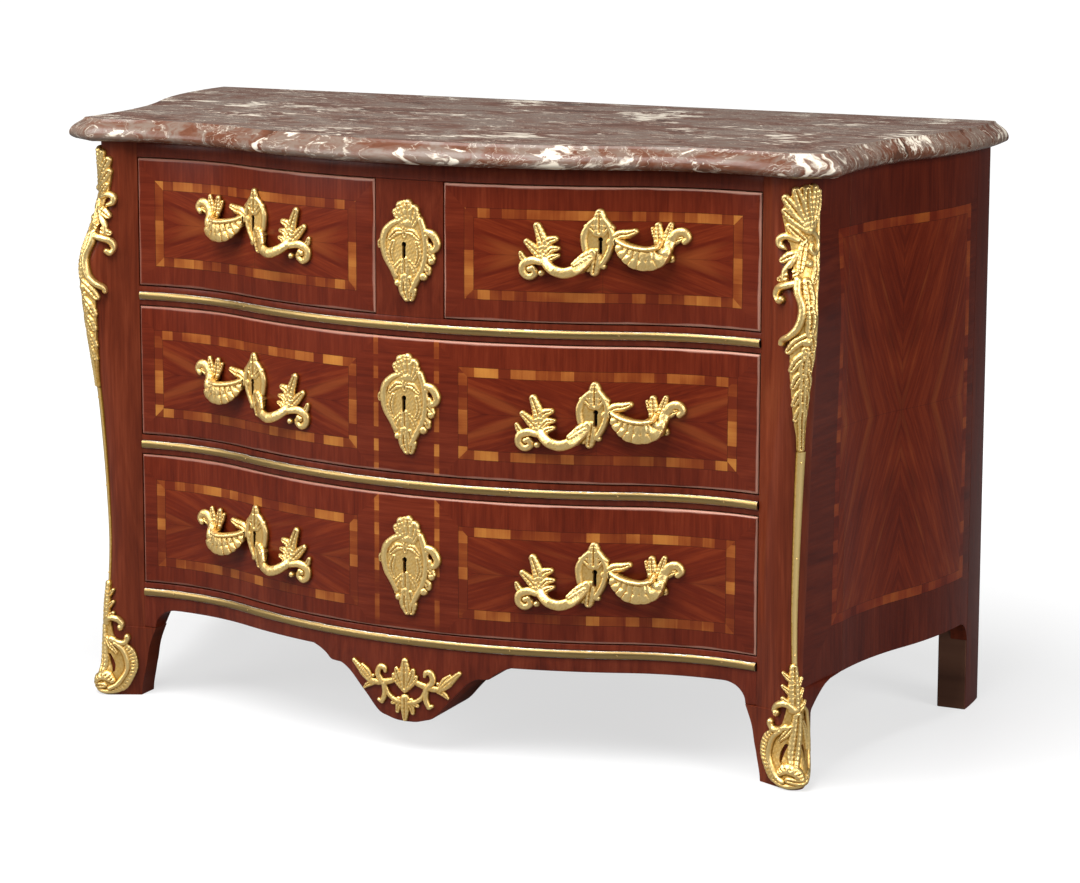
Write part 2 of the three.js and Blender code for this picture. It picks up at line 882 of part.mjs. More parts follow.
const dividerFloor = topOpeningBottom + fit;
const dividerNear = bowY + centreStileDepth + fit;
const [flange, web] = [centreHalf - guideGap, dividerThickness / 2];
const dividerSection = [
  [-flange, dividerFloor],
  [flange, dividerFloor],
  [flange, dividerFloor + guideHeight],
  [web, dividerFloor + guideHeight],
  [web, carcassTop],
  [-web, carcassTop],
  [-web, dividerFloor + guideHeight],
  [-flange, dividerFloor + guideHeight],
];
const dividerYs = [Math.max(dividerNear, railBackY + fit), backFaceY - fit];
addPiece("drawer_divider", skin(dividerYs.map((y) => dividerSection.map(([x, z]) => [x, y, z]))), oak);

// Boards behind the rails, with a guide along each side for the drawer above

function boardOutline() {
  const half = [
    [openingHalf - fit, railBackY + fit],
    [openingHalf - fit, sideNear],
    ...[...sideYs, sideFar].map((y) => [sideX(y, -sideThickness - fit), y]),
    [postInner - fit, sideFar],
    [postInner - fit, backFaceY - fit],
  ];
  return [...half, ...half.map(([x, y]) => [-x, y]).reverse()];
}

const guideX = drawerHalf - drawerSideInset + guideGap;
const boardRows = [
  ["upper_dust_board", topOpeningBottom],
  ["lower_dust_board", middleOpeningBottom],
  ["bottom_board", caseFloor],
];
for (const [name, top] of boardRows) {
  const board = slab(boardOutline(), top - dustBoardThickness, top);
  const guides = [-1, 1].map((hand) => {
    const [a, b] = [hand * guideX, hand * (guideX + guideWidth)];
    const far = backFaceY - fit;
    return block(Math.min(a, b), Math.max(a, b), sideNear, far, top - glueLap, top + guideHeight);
  });
  addPiece(name, toGeometry(joined([board, ...guides])), oak);
}

// Raised work: a tapering ribbon that follows a line laid on a curved face

function readAlong(values, t) {
  const spot = t * (values.length - 1);
  const i = Math.min(values.length - 2, Math.floor(spot));
  return values[i] + (values[i + 1] - values[i]) * (spot - i);
}

const ribbonSection = [
  [-1, 0],
  [1, 0],
  [scrollCrownShare, 1],
  [-scrollCrownShare, 1],
];

function ribbon({ spine, width, lift }, scale, place, steps) {
  const points = spine.map(([u, v]) => new THREE.Vector2(u * scale.u, v * scale.v));
  const curve = new THREE.SplineCurve(points);
  const rings = Array.from({ length: steps + 1 }, (_, i) => {
    const t = i / steps;
    const middle = curve.getPoint(t);
    const tangent = curve.getTangent(t);
    const tip = i === 0 || i === steps ? scrollTipShare : 1;
    const half = readAlong(width, t) * scale.stem * tip;
    const floor = scale.seat + (lift ? readAlong(lift, t) * scale.standOff : 0);
    const rise = scale.relief * Math.sqrt(tip);
    return ribbonSection.map(([across, up]) => {
      const u = middle.x - tangent.y * half * across;
      const v = middle.y + tangent.x * half * across;
      return place(u, v, floor + rise * up);
    });
  });
  return skin(rings);
}

// Raised plate given by rows of [height, left edge, right edge], crowned across each row

function crownedPlate(rows, scale, place, columnShares = flatColumnShares) {
  const rings = rows.map(([vShare, leftShare, rightShare], index) => {
    const v = vShare * scale.v;
    const [left, right] = [leftShare * scale.u, rightShare * scale.u];
    const flute = index % 2 ? 1 : fluteShare;
    const spots = columnShares.map((share) => left + (right - left) * share);
    const crown = columnShares.map((share) => {
      const arch = 1 - (2 * share - 1) ** 2;
      return scale.relief * flute * (plateEdgeShare + (1 - plateEdgeShare) * arch);
    });
    return [
      ...spots.map((u) => place(u, v, scale.seat)),
      ...spots.map((u, i) => place(u, v, scale.seat + crown[i])).reverse(),
    ];
  });
  return skin(rings);
}

// A spot on the front around a middle: sideways, up, and off the wood

function onFront(middleX, middleZ, hand = 1) {
  return (u, v, out) => [middleX + hand * u, frontY(middleX + hand * u, out), middleZ + v];
}

// Keyhole cutter: a round eye over a narrow slot, through a plate at a given place

function keyholeCutter(x, z) {
  const near = frontY(x, cutOverrun);
  const far = frontY(x, -cutOverrun);
  const eye = new THREE.CylinderGeometry(keyholeRadius, keyholeRadius, far - near, eyeFacets);
  eye.rotateX(Math.PI / 2);
  eye.translate(x, (near + far) / 2, z);
  const half = keyholeSlot / 2;
  const slot = block(x - half, x + half, near, far, z - keyholeDrop, z);
  return toSolid(eye).add(toSolid(slot));
}

// Drawers: a bowed front with a rounded lip, plain oak sides, back and bottom, and a lock

function drawerFront(left, right, low, high) {
  const ends = lipShares.map(([run, drop]) => [run * lipRadius, drop * lipRadius]);
  const stations = [
    ...ends.slice(0, 2).map(([run]) => left + run),
    ...frontStations(left + lipRadius, right - lipRadius),
    ...ends.slice(0, 2).map(([run]) => right - run).reverse(),
  ];
  return acrossFront(stations, (x) => {
    const run = Math.min(x - left, right - x);
    const nearest = ends.find(([reach]) => run <= reach + fit / 2);
    const endDrop = nearest ? nearest[1] : 0;
    const face = ends.map(([rise, drop]) => [facetY(x, -Math.max(drop, endDrop)), rise]);
    const rear = facetY(x, -frontThickness);
    return [
      [rear, low],
      ...face.map(([y, rise]) => [y, low + rise]),
      ...face.map(([y, rise]) => [y, high - rise]).reverse(),
      [rear, high],
    ];
  });
}

function addLock(name, middle, keyholeZ, top) {
  const reach = lockWidth / 2;
  const height = top - keyholeZ + lockBelowKeyhole;
  const [start, end] = [-reach, reach].map((x) => facetY(middle + x, -frontThickness));
  const chord = (start + end) / 2;
  const near = fit + Math.max(0, facetY(middle, -frontThickness) - chord);
  const lock = addPiece(name, block(-reach, reach, near, near + lockDepth, -height, 0), iron);
  lock.position.set(middle, chord, top);
  lock.rotation.z = Math.atan2(end - start, lockWidth);
}

function addDrawer(name, left, right, floor, height, lockAt, keyholeLift) {
  const [low, high] = [floor + drawerGap, floor + drawerGap + height];
  const [sideLow, sideHigh] = [floor + runnerGap, high - drawerTopClearance];
  const [outerLeft, outerRight] = [left + drawerSideInset, right - drawerSideInset];
  const [innerLeft, innerRight] = [outerLeft + drawerSideThickness, outerRight - drawerSideThickness];
  addPiece(`${name}_front`, drawerFront(left, right, low, high), veneer);
  const sides = [
    ["left", outerLeft, innerLeft],
    ["right", innerRight, outerRight],
  ];
  for (const [side, from, to] of sides) {
    const near = Math.max(facetY(from, -frontThickness), facetY(to, -frontThickness)) + fit;
    addPiece(`${name}_${side}_side`, block(from, to, near, drawerBackY, sideLow, sideHigh), oak);
  }
  const [from, to] = [innerLeft + fit, innerRight - fit];
  const bottomLow = sideLow + drawerBottomRaise;
  const bottomHigh = bottomLow + drawerBottomThickness;
  const bottom = acrossFront(frontStations(from, to), (x) => {
    const near = facetY(x, -frontThickness) + bottomBoardGap;
    return [[drawerBackY, bottomLow], [near, bottomLow], [near, bottomHigh], [drawerBackY, bottomHigh]];
  });
  addPiece(`${name}_bottom`, bottom, oak);
  const backNear = drawerBackY - drawerSideThickness;
  addPiece(`${name}_back`, block(from, to, backNear, drawerBackY, bottomHigh + fit, sideHigh), oak);
  addLock(`${name}_lock`, lockAt, (low + high) / 2 + keyholeLift, high - fit);
}

// Drawer pulls, alike on every drawer and mirrored from side to side

function pull(middleX, middleZ, hand) {
  const place = onFront(middleX, middleZ, hand);
  const size = { u: pullReach, v: pullRise, seat: mountSeat, relief: pullRelief };
  const scrolls = pullScrollShares.map((scroll) => {
    const steps = scroll.spine.length - 1;
    return ribbon(scroll, { ...size, stem: pullStem, standOff: pullStandOff }, place, steps);
  });
  const solid = joined([crownedPlate(pullPlateShares, size, place), ...scrolls]);
  return toGeometry(solid.subtract(keyholeCutter(middleX, middleZ)));
}

function keyPlate(middleZ, sink = 0) {
  const size = { u: plateHalf, v: plateRise, seat: mountSeat - sink, relief: plateRelief };
  const plate = crownedPlate(plateEdgeShares, size, onFront(0, middleZ));
  return toGeometry(toSolid(plate).subtract(keyholeCutter(longFittingsOffCentre, middleZ)));
}

const middleOf = (floor, height) => floor + drawerGap + height / 2;
const topMiddle = middleOf(topOpeningBottom, topDrawerHeight);
const shortLeft = [-drawerHalf, -centreHalf - drawerGap];
const shortRight = [centreHalf + drawerGap, drawerHalf];

const shortDrawers = [
  ["top_left_drawer", shortLeft, -1],
  ["top_right_drawer", shortRight, 1],
];
for (const [name, [left, right], hand] of shortDrawers) {
  const pullAt = hand * pullFromCentre;
  addDrawer(name, left, right, topOpeningBottom, topDrawerHeight, pullAt, shortPullLift);
  addPiece(`${name}_pull`, pull(pullAt, topMiddle + shortPullLift, hand), gilt);
}
addPiece("centre_stile_key_plate", keyPlate(topMiddle, stileSink), gilt);

const longRows = [
  ["middle_drawer", middleOpeningBottom, middleDrawerHeight, middlePlateLift],
  ["bottom_drawer", caseFloor, bottomDrawerHeight, 0],
];
for (const [name, floor, height, plateLift] of longRows) {
  const middle = middleOf(floor, height);
  addDrawer(name, -drawerHalf, drawerHalf, floor, height, longFittingsOffCentre, plateLift);
  addPiece(`${name}_key_plate`, keyPlate(middle + plateLift), gilt);
  for (const [side, hand] of bothSides) {
    const pullAt = longFittingsOffCentre + hand * pullFromCentre;
    addPiece(`${name}_${side}_pull`, pull(pullAt, middle, hand), gilt);
  }
}

// Apron mount on the tongue

const apronSize = {
  u: wingReach,
  v: wingRise,
  seat: mountSeat - stileSink,
  relief: apronMountRelief,
  stem: wingStem,
};
const wings = [-1, 1].flatMap((hand) =>
  wingShares.map((wing) => {
    const steps = wing.spine.length - 1;
    return ribbon(wing, apronSize, onFront(apronOffCentre, apronMountHeight, hand), steps);
  }),
);
const pendant = pendantShares.map((drop) => {
  return ribbon(drop, apronSize, onFront(apronOffCentre, apronMountHeight), 2);
});
addPiece("apron_mount", toGeometry(joined([...wings, ...pendant])), gilt);

// Corner mounts, each hollowed behind to fit the stile that it is pinned to

function seatedOnStile(solid, hand) {
  const stile = skin(stileLevels.map((z) => cornerRing(z, hand, fit)));
  return toGeometry(solid.subtract(toSolid(stile)));
}

function chute(hand) {
  const place = onCorner(hand);
  const size = { u: chuteReach, v: -chuteLength, seat: -cornerSink, relief: chuteRelief + cornerSink };
  const hung = (u, v, out) => place(u, chuteTop + v, out);
  const plate = toSolid(crownedPlate(chuteRowShares, size, hung, noseColumnShares));
  const curl = ribbon(chuteCurlShares, { ...size, stem: curlStem }, hung, curlFacets);
  const holes = chuteHoleShares.map(([down, across]) => {
    const spot = new THREE.Vector3(...hung(across * chuteReach, -down * chuteLength, 0));
    const outer = new THREE.Vector3(...hung(across * chuteReach, -down * chuteLength, 1));
    const drill = new THREE.CylinderGeometry(chuteHoleRadius, chuteHoleRadius, cutOverrun, holeFacets);
    const turn = new THREE.Quaternion();
    turn.setFromUnitVectors(new THREE.Vector3(0, 1, 0), outer.sub(spot).normalize());
    drill.applyQuaternion(turn);
    drill.translate(spot.x, spot.y, spot.z);
    return toSolid(drill);
  });
  const whole = plate.add(toSolid(curl));
  return seatedOnStile(holes.reduce((left, hole) => left.subtract(hole), whole), hand);
}

function cornerFillet(hand) {
  const place = onCorner(hand);
  const [low, high] = [sabotLift + sabotHeight + fit, chuteTop - chuteLength - fit];
  const rings = spread(low, high, levelStep).map((z) => {
    const share = (z - low) / (high - low);
    const half = (filletFootWidth + (filletTopWidth - filletFootWidth) * share) / 2;
    const rise = filletRelief + cornerSink;
    return filletShares.map(([across, up]) => place(across * half, z, up * rise - cornerSink));
  });
  return seatedOnStile(toSolid(skin(rings)), hand);
}

function sabot(hand) {
  const place = onCorner(hand);
  const size = { u: sabotReach, v: sabotHeight, seat: -cornerSink, relief: sabotRelief + cornerSink };
  const raised = (u, v, out) => place(u, sabotLift + v, out);
  const scale = { ...size, stem: curlStem };
  const curls = sabotCurlShares.map((curl) => ribbon(curl, scale, raised, curlFacets));
  const plate = crownedPlate(sabotRowShares, size, raised, noseColumnShares);
  return seatedOnStile(joined([plate, ...curls]), hand);
}

for (const [side, hand] of bothSides) {
  addPiece(`${side}_chute`, chute(hand), gilt);
  addPiece(`${side}_corner_fillet`, cornerFillet(hand), brass);
  addPiece(`${side}_sabot`, sabot(hand), gilt);
}

export default commode;
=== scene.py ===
import json
import math
from functools import partial

import bmesh
import bpy
import numpy as np
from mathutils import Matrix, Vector

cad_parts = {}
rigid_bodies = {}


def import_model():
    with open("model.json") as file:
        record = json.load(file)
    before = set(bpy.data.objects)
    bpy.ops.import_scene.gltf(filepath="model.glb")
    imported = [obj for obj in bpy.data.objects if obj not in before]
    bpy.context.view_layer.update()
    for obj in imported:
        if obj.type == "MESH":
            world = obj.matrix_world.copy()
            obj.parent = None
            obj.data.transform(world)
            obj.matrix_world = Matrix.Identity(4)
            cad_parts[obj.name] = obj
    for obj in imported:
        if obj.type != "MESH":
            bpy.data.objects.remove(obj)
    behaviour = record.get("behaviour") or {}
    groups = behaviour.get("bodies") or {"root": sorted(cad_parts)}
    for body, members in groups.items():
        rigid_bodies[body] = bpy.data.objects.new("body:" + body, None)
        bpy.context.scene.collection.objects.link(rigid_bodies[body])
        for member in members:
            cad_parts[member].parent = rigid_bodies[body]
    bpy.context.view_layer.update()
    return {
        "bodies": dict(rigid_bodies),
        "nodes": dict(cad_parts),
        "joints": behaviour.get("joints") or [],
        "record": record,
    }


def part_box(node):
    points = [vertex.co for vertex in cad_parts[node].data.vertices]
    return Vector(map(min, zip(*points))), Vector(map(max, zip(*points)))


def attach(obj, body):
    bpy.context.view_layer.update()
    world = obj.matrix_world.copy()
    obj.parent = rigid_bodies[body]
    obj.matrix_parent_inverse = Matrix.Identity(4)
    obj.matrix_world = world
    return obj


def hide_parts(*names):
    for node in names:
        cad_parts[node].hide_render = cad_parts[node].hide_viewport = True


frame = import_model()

# Oak boards inside the case: the back, the dust boards, the divider and the drawer boxes.
# Quarter-sawn oak, planed and left bare, so it is pale, dull and lined along the board.

OAK_TONES, OAK_SHARES = ("6b4a2b", "8f6a42", "a9845a"), (0.3, 0.5, 0.68)
OAK_RING, OAK_FLOW, OAK_PORE_DEPTH = 0.006, 0.16, 0.0006


def linear(code):
    """The linear colour of an sRGB hex value."""
    parts = [int(code[i : i + 2], 16) / 255 for i in (0, 2, 4)]
    return tuple(c / 12.92 if c <= 0.04045 else ((c + 0.055) / 1.055) ** 2.4 for c in parts) + (1,)


def feed(node, inputs):
    """Sets a node's inputs, by name or place, to a value or by a link from a socket or a node.

    A node gives its first live output. A map range reads from 1..2 and gives 3..4.
    """
    for key, value in inputs.items():
        if isinstance(value, bpy.types.Node):
            value = next(socket for socket in value.outputs if socket.enabled)
        if isinstance(value, bpy.types.NodeSocket):
            node.id_data.links.new(value, node.inputs[key])
        else:
            node.inputs[key].default_value = value


def add_node(tree, kind, inputs=None, stops=None, **settings):
    """Adds one node, with its settings, its inputs and its ramp colours; a short kind is a shader node."""
    node = tree.nodes.new(kind if "Node" in kind else f"ShaderNode{kind}")
    for key, value in settings.items():
        setattr(node, key, value)
    feed(node, inputs or {})
    for place, colour in stops or ():
        ramp = node.color_ramp.elements
        element = ramp[0] if (place, colour) == stops[0] else ramp.new(place)
        element.position, element.color = place, linear(colour)
    if stops:
        node.color_ramp.elements.remove(node.color_ramp.elements[-1])
    return node


def new_finish(name):
    """A node material, with what adds to its tree, its shader and its object coordinates."""
    material = bpy.data.materials.new(name)
    material.use_nodes = True
    add = partial(add_node, material.node_tree)
    shader = material.node_tree.nodes["Principled BSDF"]
    return material, add, shader, add("TexCoord").outputs["Object"]


def grained(add, grain, ring, flow, seed):
    """Wood figure from 0 to 1 over (across, along) metres: rings, a slow drift and fine pores."""
    scales = [(1 / ring, 1 / flow), (0.14 / ring, 0.5 / flow), (5 / ring, 3 / flow)]
    layers = []
    for k, (across, along) in enumerate(scales):
        spread = add("VectorMath", {
            0: grain, 1: (across, along, 1), 2: (seed + 7.3 * k, 3.1 * seed, seed),
        }, operation="MULTIPLY_ADD")
        layers.append(add("TexNoise", {
            "Vector": spread, "Scale": 1, "Detail": 3, "Roughness": 0.6, "Distortion": (0.4, 1.4, 0)[k],
        }))
    mixed = add("Mix", {0: 0.5, 2: layers[0], 3: layers[1]})
    return add("Mix", {0: 0.16, 2: mixed, 3: layers[2]})


def plain_wood(name, across_axis, along_axis, tones, places, ring, flow, seed):
    """A finish with the figure and colours of plain wood, to be given its surface."""
    material, add, shader, place = new_finish(name)
    apart = add("SeparateXYZ", {0: place}).outputs
    grain = add("CombineXYZ", {0: apart[across_axis], 1: apart[along_axis]})
    figure = grained(add, grain, ring, flow, seed)
    return material, add, shader, figure, add("ValToRGB", {0: figure}, stops=list(zip(places, tones)))


def oak_finish(name, along_axis, across_axis, seed):
    oak, add, shader, figure, colour = plain_wood(
        name, across_axis, along_axis, OAK_TONES, OAK_SHARES, OAK_RING, OAK_FLOW, seed,
    )
    pores = add("Bump", {"Strength": 0.25, "Distance": OAK_PORE_DEPTH, "Height": figure})
    feed(shader, {"Base Color": colour, "Normal": pores, "Roughness": 0.62})
    return oak


oak_level = oak_finish("oak_along_the_case", 0, 1, 2.0)
oak_deep = oak_finish("oak_front_to_back", 1, 0, 5.0)
oak_upright = oak_finish("oak_side_boards", 1, 2, 9.0)


def finish_node(node, *materials):
    """Gives a piece of the frame its finish, and leaves its shape alone."""
    mesh = frame["nodes"][node].data
    mesh.materials.clear()
    for material in materials:
        mesh.materials.append(material)


DRAWERS = ["top_left_drawer", "top_right_drawer", "middle_drawer", "bottom_drawer"]
HANDS = (("left", -1), ("right", 1))
finish_node("back_boards", oak_finish("oak_back", 0, 2, 12.0))
for board in ("upper_dust_board", "lower_dust_board", "bottom_board"):
    finish_node(board, oak_level)
finish_node("drawer_divider", oak_deep)
for drawer in DRAWERS:
    finish_node(f"{drawer}_bottom", oak_level)
    finish_node(f"{drawer}_back", oak_finish(f"{drawer}_back_oak", 0, 2, 3.0 + len(drawer)))
    for side, _ in HANDS:
        finish_node(f"{drawer}_{side}_side", oak_upright)

# Locks: wrought iron cases screwed inside the drawer fronts.
# Old filed iron under wax, so dark and half dull, with a fine mottle of rust.

IRON_DARK, IRON_LIGHT = "1f1b18", "4b443d"
IRON_MOTTLE = 0.004

iron, add, shader, place = new_finish("filed_iron")
mottle = add("TexNoise", {"Vector": place, "Scale": 1 / IRON_MOTTLE, "Detail": 5, "Roughness": 0.65})
colour = add("ValToRGB", {0: mottle}, stops=[(0.35, IRON_DARK), (0.65, IRON_LIGHT)])
feed(shader, {"Base Color": colour, "Metallic": 1, "Roughness": 0.5})
for drawer in DRAWERS:
    finish_node(f"{drawer}_lock", iron)

# Front and side lines of the case: a bow between two scoops, and a hollow before a swell.
# They are the lines of the joiner's templates, and every shaped piece follows them.

FLOOR_TO_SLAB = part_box("right_front_stile")[1].z
BACK_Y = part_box("back_boards")[1].y
FIT, DRAWER_GAP, SINK = 0.0003, 0.0015, 0.002
BODY_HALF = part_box("right_side_board")[1].x + FIT
OPENING_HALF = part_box("middle_drawer_front")[1].x + DRAWER_GAP
BOW_RADIUS, SCOOP_RADIUS, SCOOP_FROM_OPENING = 0.780, 0.340, 0.054
SCOOP_HALF = OPENING_HALF - SCOOP_FROM_OPENING
BOW_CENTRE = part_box("middle_drawer_front")[0].y + BOW_RADIUS
ARC_SUM = BOW_RADIUS + SCOOP_RADIUS
SCOOP_CENTRE = BOW_CENTRE - math.sqrt(ARC_SUM**2 - SCOOP_HALF**2)
STILE_FRONT = SCOOP_CENTRE + math.sqrt(SCOOP_RADIUS**2 - SCOOP_FROM_OPENING**2)
SIDE_SWELL, HOLLOW_BEHIND_FRONT, SWELL_FROM_BACK = 0.075, 0.068, 0.051
HOLLOW_Y, SWELL_Y = STILE_FRONT + HOLLOW_BEHIND_FRONT, BACK_Y - SWELL_FROM_BACK
HOLLOW_HALF = BODY_HALF - SIDE_SWELL
SIDE_RUN = SWELL_Y - HOLLOW_Y
SIDE_RADIUS = (SIDE_SWELL**2 + SIDE_RUN**2) / (4 * SIDE_SWELL)


def front_y(x, out=0.0):
    """Where the front line lies at x, pushed out by a distance."""
    reach = np.abs(x)
    turn = SCOOP_HALF * (BOW_RADIUS + out) / ARC_SUM
    bow = BOW_CENTRE - np.sqrt(np.maximum((BOW_RADIUS + out) ** 2 - reach**2, 0))
    drop = (SCOOP_RADIUS - out) ** 2 - (reach - SCOOP_HALF) ** 2
    return np.where(reach <= turn, bow, SCOOP_CENTRE + np.sqrt(np.maximum(drop, 0)))


def side_x(y, out=0.0):
    """Where the side line lies at y, pushed out by a distance."""
    turn = HOLLOW_Y + SIDE_RUN * (SIDE_RADIUS - out) / (2 * SIDE_RADIUS)
    near = (SIDE_RADIUS - out) ** 2 - (y - HOLLOW_Y) ** 2
    far = (SIDE_RADIUS + out) ** 2 - (y - SWELL_Y) ** 2
    hollow = HOLLOW_HALF + SIDE_RADIUS - np.sqrt(np.maximum(near, 0))
    swell = BODY_HALF - SIDE_RADIUS + np.sqrt(np.maximum(far, 0))
    return np.where(y <= turn, hollow, swell)


def heights(node):
    """The lower and upper end of a piece of the frame."""
    low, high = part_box(node)
    return low.z, high.z


def placed(name, data):
    """A new object in the scene, unmoved and unscaled."""
    thing = bpy.data.objects.new(name, data)
    bpy.context.scene.collection.objects.link(thing)
    return thing


def turn_outward(mesh):
    skin = bmesh.new()
    skin.from_mesh(mesh)
    bmesh.ops.recalc_face_normals(skin, faces=skin.faces)
    skin.to_mesh(mesh)
    skin.free()


def shown(name, mesh, crease, materials=()):
    """A smooth piece from a mesh, with the edges sharper than the crease kept."""
    for material in materials:
        mesh.materials.append(material)
    mesh.shade_smooth()
    mesh.set_sharp_from_angle(angle=math.radians(crease))
    return placed(name, mesh)


def loft(name, rings, materials, edge_slots=None, end_slot=0, crease=35):
    """Skins rings of like points, closes both ends, and keeps edges sharper than the crease."""
    rings = np.asarray(rings, float)
    rows, count, _ = rings.shape
    mesh = bpy.data.meshes.new(name)
    faces, slots = [], []
    for r in range(rows - 1):
        for i in range(count):
            j = (i + 1) % count
            faces.append((r * count + i, r * count + j, (r + 1) * count + j, (r + 1) * count + i))
            slots.append(edge_slots[i] if edge_slots else 0)
    faces += [tuple(reversed(range(count))), tuple(range((rows - 1) * count, rows * count))]
    slots += [end_slot, end_slot]
    mesh.from_pydata(rings.reshape(-1, 3).tolist(), [], faces)
    mesh.polygons.foreach_set("material_index", slots)
    turn_outward(mesh)
    return shown(name, mesh, crease, materials)


def softened(piece, width):
    """Rounds a piece's sharp edges by a width, as hand tools and wear do."""
    bevel = piece.modifiers.new("soft edges", "BEVEL")
    bevel.width, bevel.segments, bevel.limit_method = width, 2, "ANGLE"
    bevel.angle_limit = math.radians(40)
    bevel.harden_normals = True
    return piece


def stands_for(piece, body, slot, *nodes):
    """The piece rides on a body and stands for these pieces of the frame."""
    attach(piece, body)
    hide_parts(*nodes)
    return piece


# Rear posts: oak posts that run down as the rear feet, veneered in kingwood on their outer face.
# The bare faces are stained dark, and all are French polished, with a soft shine and plain grain.

STAIN_TONES = "432a20", "664535", "83604a"
POST_VENEER_TONES = ("380f08", "4c190d", "602412")
POST_RING, POST_FLOW, POST_SOFT = 0.004, 0.12, 0.0015
VENEER_SHARES = (0.3, 0.5, 0.7)
POLISH_ROUGHNESS, POLISH_IOR, POLISH_GLOSS, POLISH_DEPTH = 0.3, 1.5, 0.16, 0.00012
POST_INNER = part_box("right_rear_post")[0].x
POST_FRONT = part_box("right_rear_post")[0].y


def polish(add, shader, colour, height):
    """Old French polish over veneer: a soft shine that follows a faint unevenness of the wood."""
    waves = add("Bump", {"Strength": 0.5, "Distance": POLISH_DEPTH, "Height": height})
    feed(shader, {
        "Base Color": colour, "Normal": waves, "Roughness": POLISH_ROUGHNESS, "IOR": POLISH_IOR,
        "Specular IOR Level": POLISH_GLOSS,
    })


def plain_veneer(name, across_axis, along_axis, tones, ring, flow, seed):
    veneer, add, shader, figure, colour = plain_wood(
        name, across_axis, along_axis, tones, VENEER_SHARES, ring, flow, seed,
    )
    polish(add, shader, colour, figure)
    return veneer


stained_post = plain_veneer("stained_post_oak", 1, 2, STAIN_TONES, POST_RING, POST_FLOW, 4.0)
post_veneer = plain_veneer("kingwood_on_the_posts", 1, 2, POST_VENEER_TONES, POST_RING, POST_FLOW, 17.0)
for side, hand in HANDS:
    outer = [(hand * side_x(y), y) for y in np.linspace(POST_FRONT, BACK_Y, 9)]
    outline = [(hand * POST_INNER, POST_FRONT)] + outer + [(hand * POST_INNER, BACK_Y)]
    levels = np.linspace(0, FLOOR_TO_SLAB, 6)
    rings = [[(x, y, z) for x, y in outline] for z in levels]
    slots = [0] + [1] * (len(outer) - 1) + [0, 0]
    post = loft(f"{side}_post", rings, [stained_post, post_veneer], edge_slots=slots)
    stands_for(softened(post, POST_SOFT), "carcass", "dark_veneer", f"{side}_rear_post")

# Front stiles: solid corner posts, rounded and swelling at the shoulder, that sweep into the feet.
# Veneered in kingwood laid upright and French polished, dark red-brown with a soft even shine. Their
# rear flanks carry on the framed kingwood panel of the sides, so its marquetry is laid out here.

STILE_TONES = ("46180d", "632815", "7a3821")
STILE_RING, STILE_FLOW = 0.005, 0.14
FRAME_TONES, FRAME_SHARES = ("481509", "5f200f", "712d18"), (0.32, 0.5, 0.68)
LEAF_TONES, LEAF_SHARES = ("4c1408", "62200d", "752e14"), (0.34, 0.5, 0.64)
SAP_TONE, SAP_STREAKS = "8f4a22", (42, 3.5, 1)
BAND_TONES, BAND_SHARES = ("622310", "7f3c18", "9a5826", "b87a35"), (0.38, 0.5, 0.6, 0.74)
BAND_WIDTH, BAND_BLOCK, WHOLE, DRIFT = 0.0135, 0.017, 10, 1 / 14
LINE_TONE, LINE_WIDTH = "1c0806", 0.0006
# The lip tone is a painted highlight: the glint of the lights on the rounded lip, stronger towards the right.
LIP_HIGHLIGHT_TONE, LIP_HIGHLIGHT_WIDTH, LIP_HIGHLIGHT_LEFT, LIP_HIGHLIGHT_RIGHT = "cd9a86", 0.0036, 0.4, 1.1
VENEER_RING, VENEER_FLOW = 0.0045, 0.1
STILE_DEPTH = 0.115
NOSE_RADIUS, CORNER_BULGE = 0.034, 0.031
NOSE_SET_IN, NOSE_SET_FORWARD = 0.026, 0.002
NOSE_X, NOSE_Y = HOLLOW_HALF - NOSE_SET_IN, STILE_FRONT - NOSE_SET_FORWARD
FOOT_DEPTH, FOOT_TAPER = 0.035, 0.015
SIDE_RAIL_BOTTOM, KNEE_RADIUS = 0.135, 0.038
SHOULDER_HEIGHT, SHOULDER_WIDTH, FOOT_INSET = 0.104, 0.017, 0.007
BULGE_SHARES = [
    (0, 0.58), (0.015, 0.66), (0.032, 0.62), (0.055, 0.36), (0.095, 0.26), (0.155, 0.2),
    (0.21, 0.08), (0.28, 0), (0.36, 0.05), (0.46, 0.19), (0.555, 0.39), (0.651, 0.74),
    (0.73, 0.95), (0.79, 0.98), (0.845, 0.5), (0.885, 0.14), (0.93, 0), (1, 0.1),
]
NOSE_SHARES = [
    (0, 0.45), (0.1, 0.47), (0.17, 0.66), (0.3, 1), (0.5, 0.95), (0.66, 0.76), (0.78, 0.66),
    (0.9, 0.9), (1, 1),
]
LEG_EDGE_SHARES = [(0, -1), (0.11, -0.85), (0.41, 0), (0.74, 0.41), (1, 1)]


def smooth_read(table, place):
    """A smooth value from a table of (place, value) rows, by the slopes between its neighbours."""
    xs, ys = np.array(table, float).T
    place = float(np.clip(place, xs[0], xs[-1]))
    i = int(np.clip(np.searchsorted(xs, place, side="right") - 1, 0, len(xs) - 2))
    slope = lambda a, b: (ys[b] - ys[a]) / (xs[b] - xs[a])
    span = xs[i + 1] - xs[i]
    before = slope(max(i - 1, 0), i + 1) * span
    after = slope(i, min(i + 2, len(xs) - 1)) * span
    t = (place - xs[i]) / span
    curve = (t - t**2) * (before * (1 - t) - after * t)
    return ys[i] + (ys[i + 1] - ys[i]) * (3 * t**2 - 2 * t**3) + curve


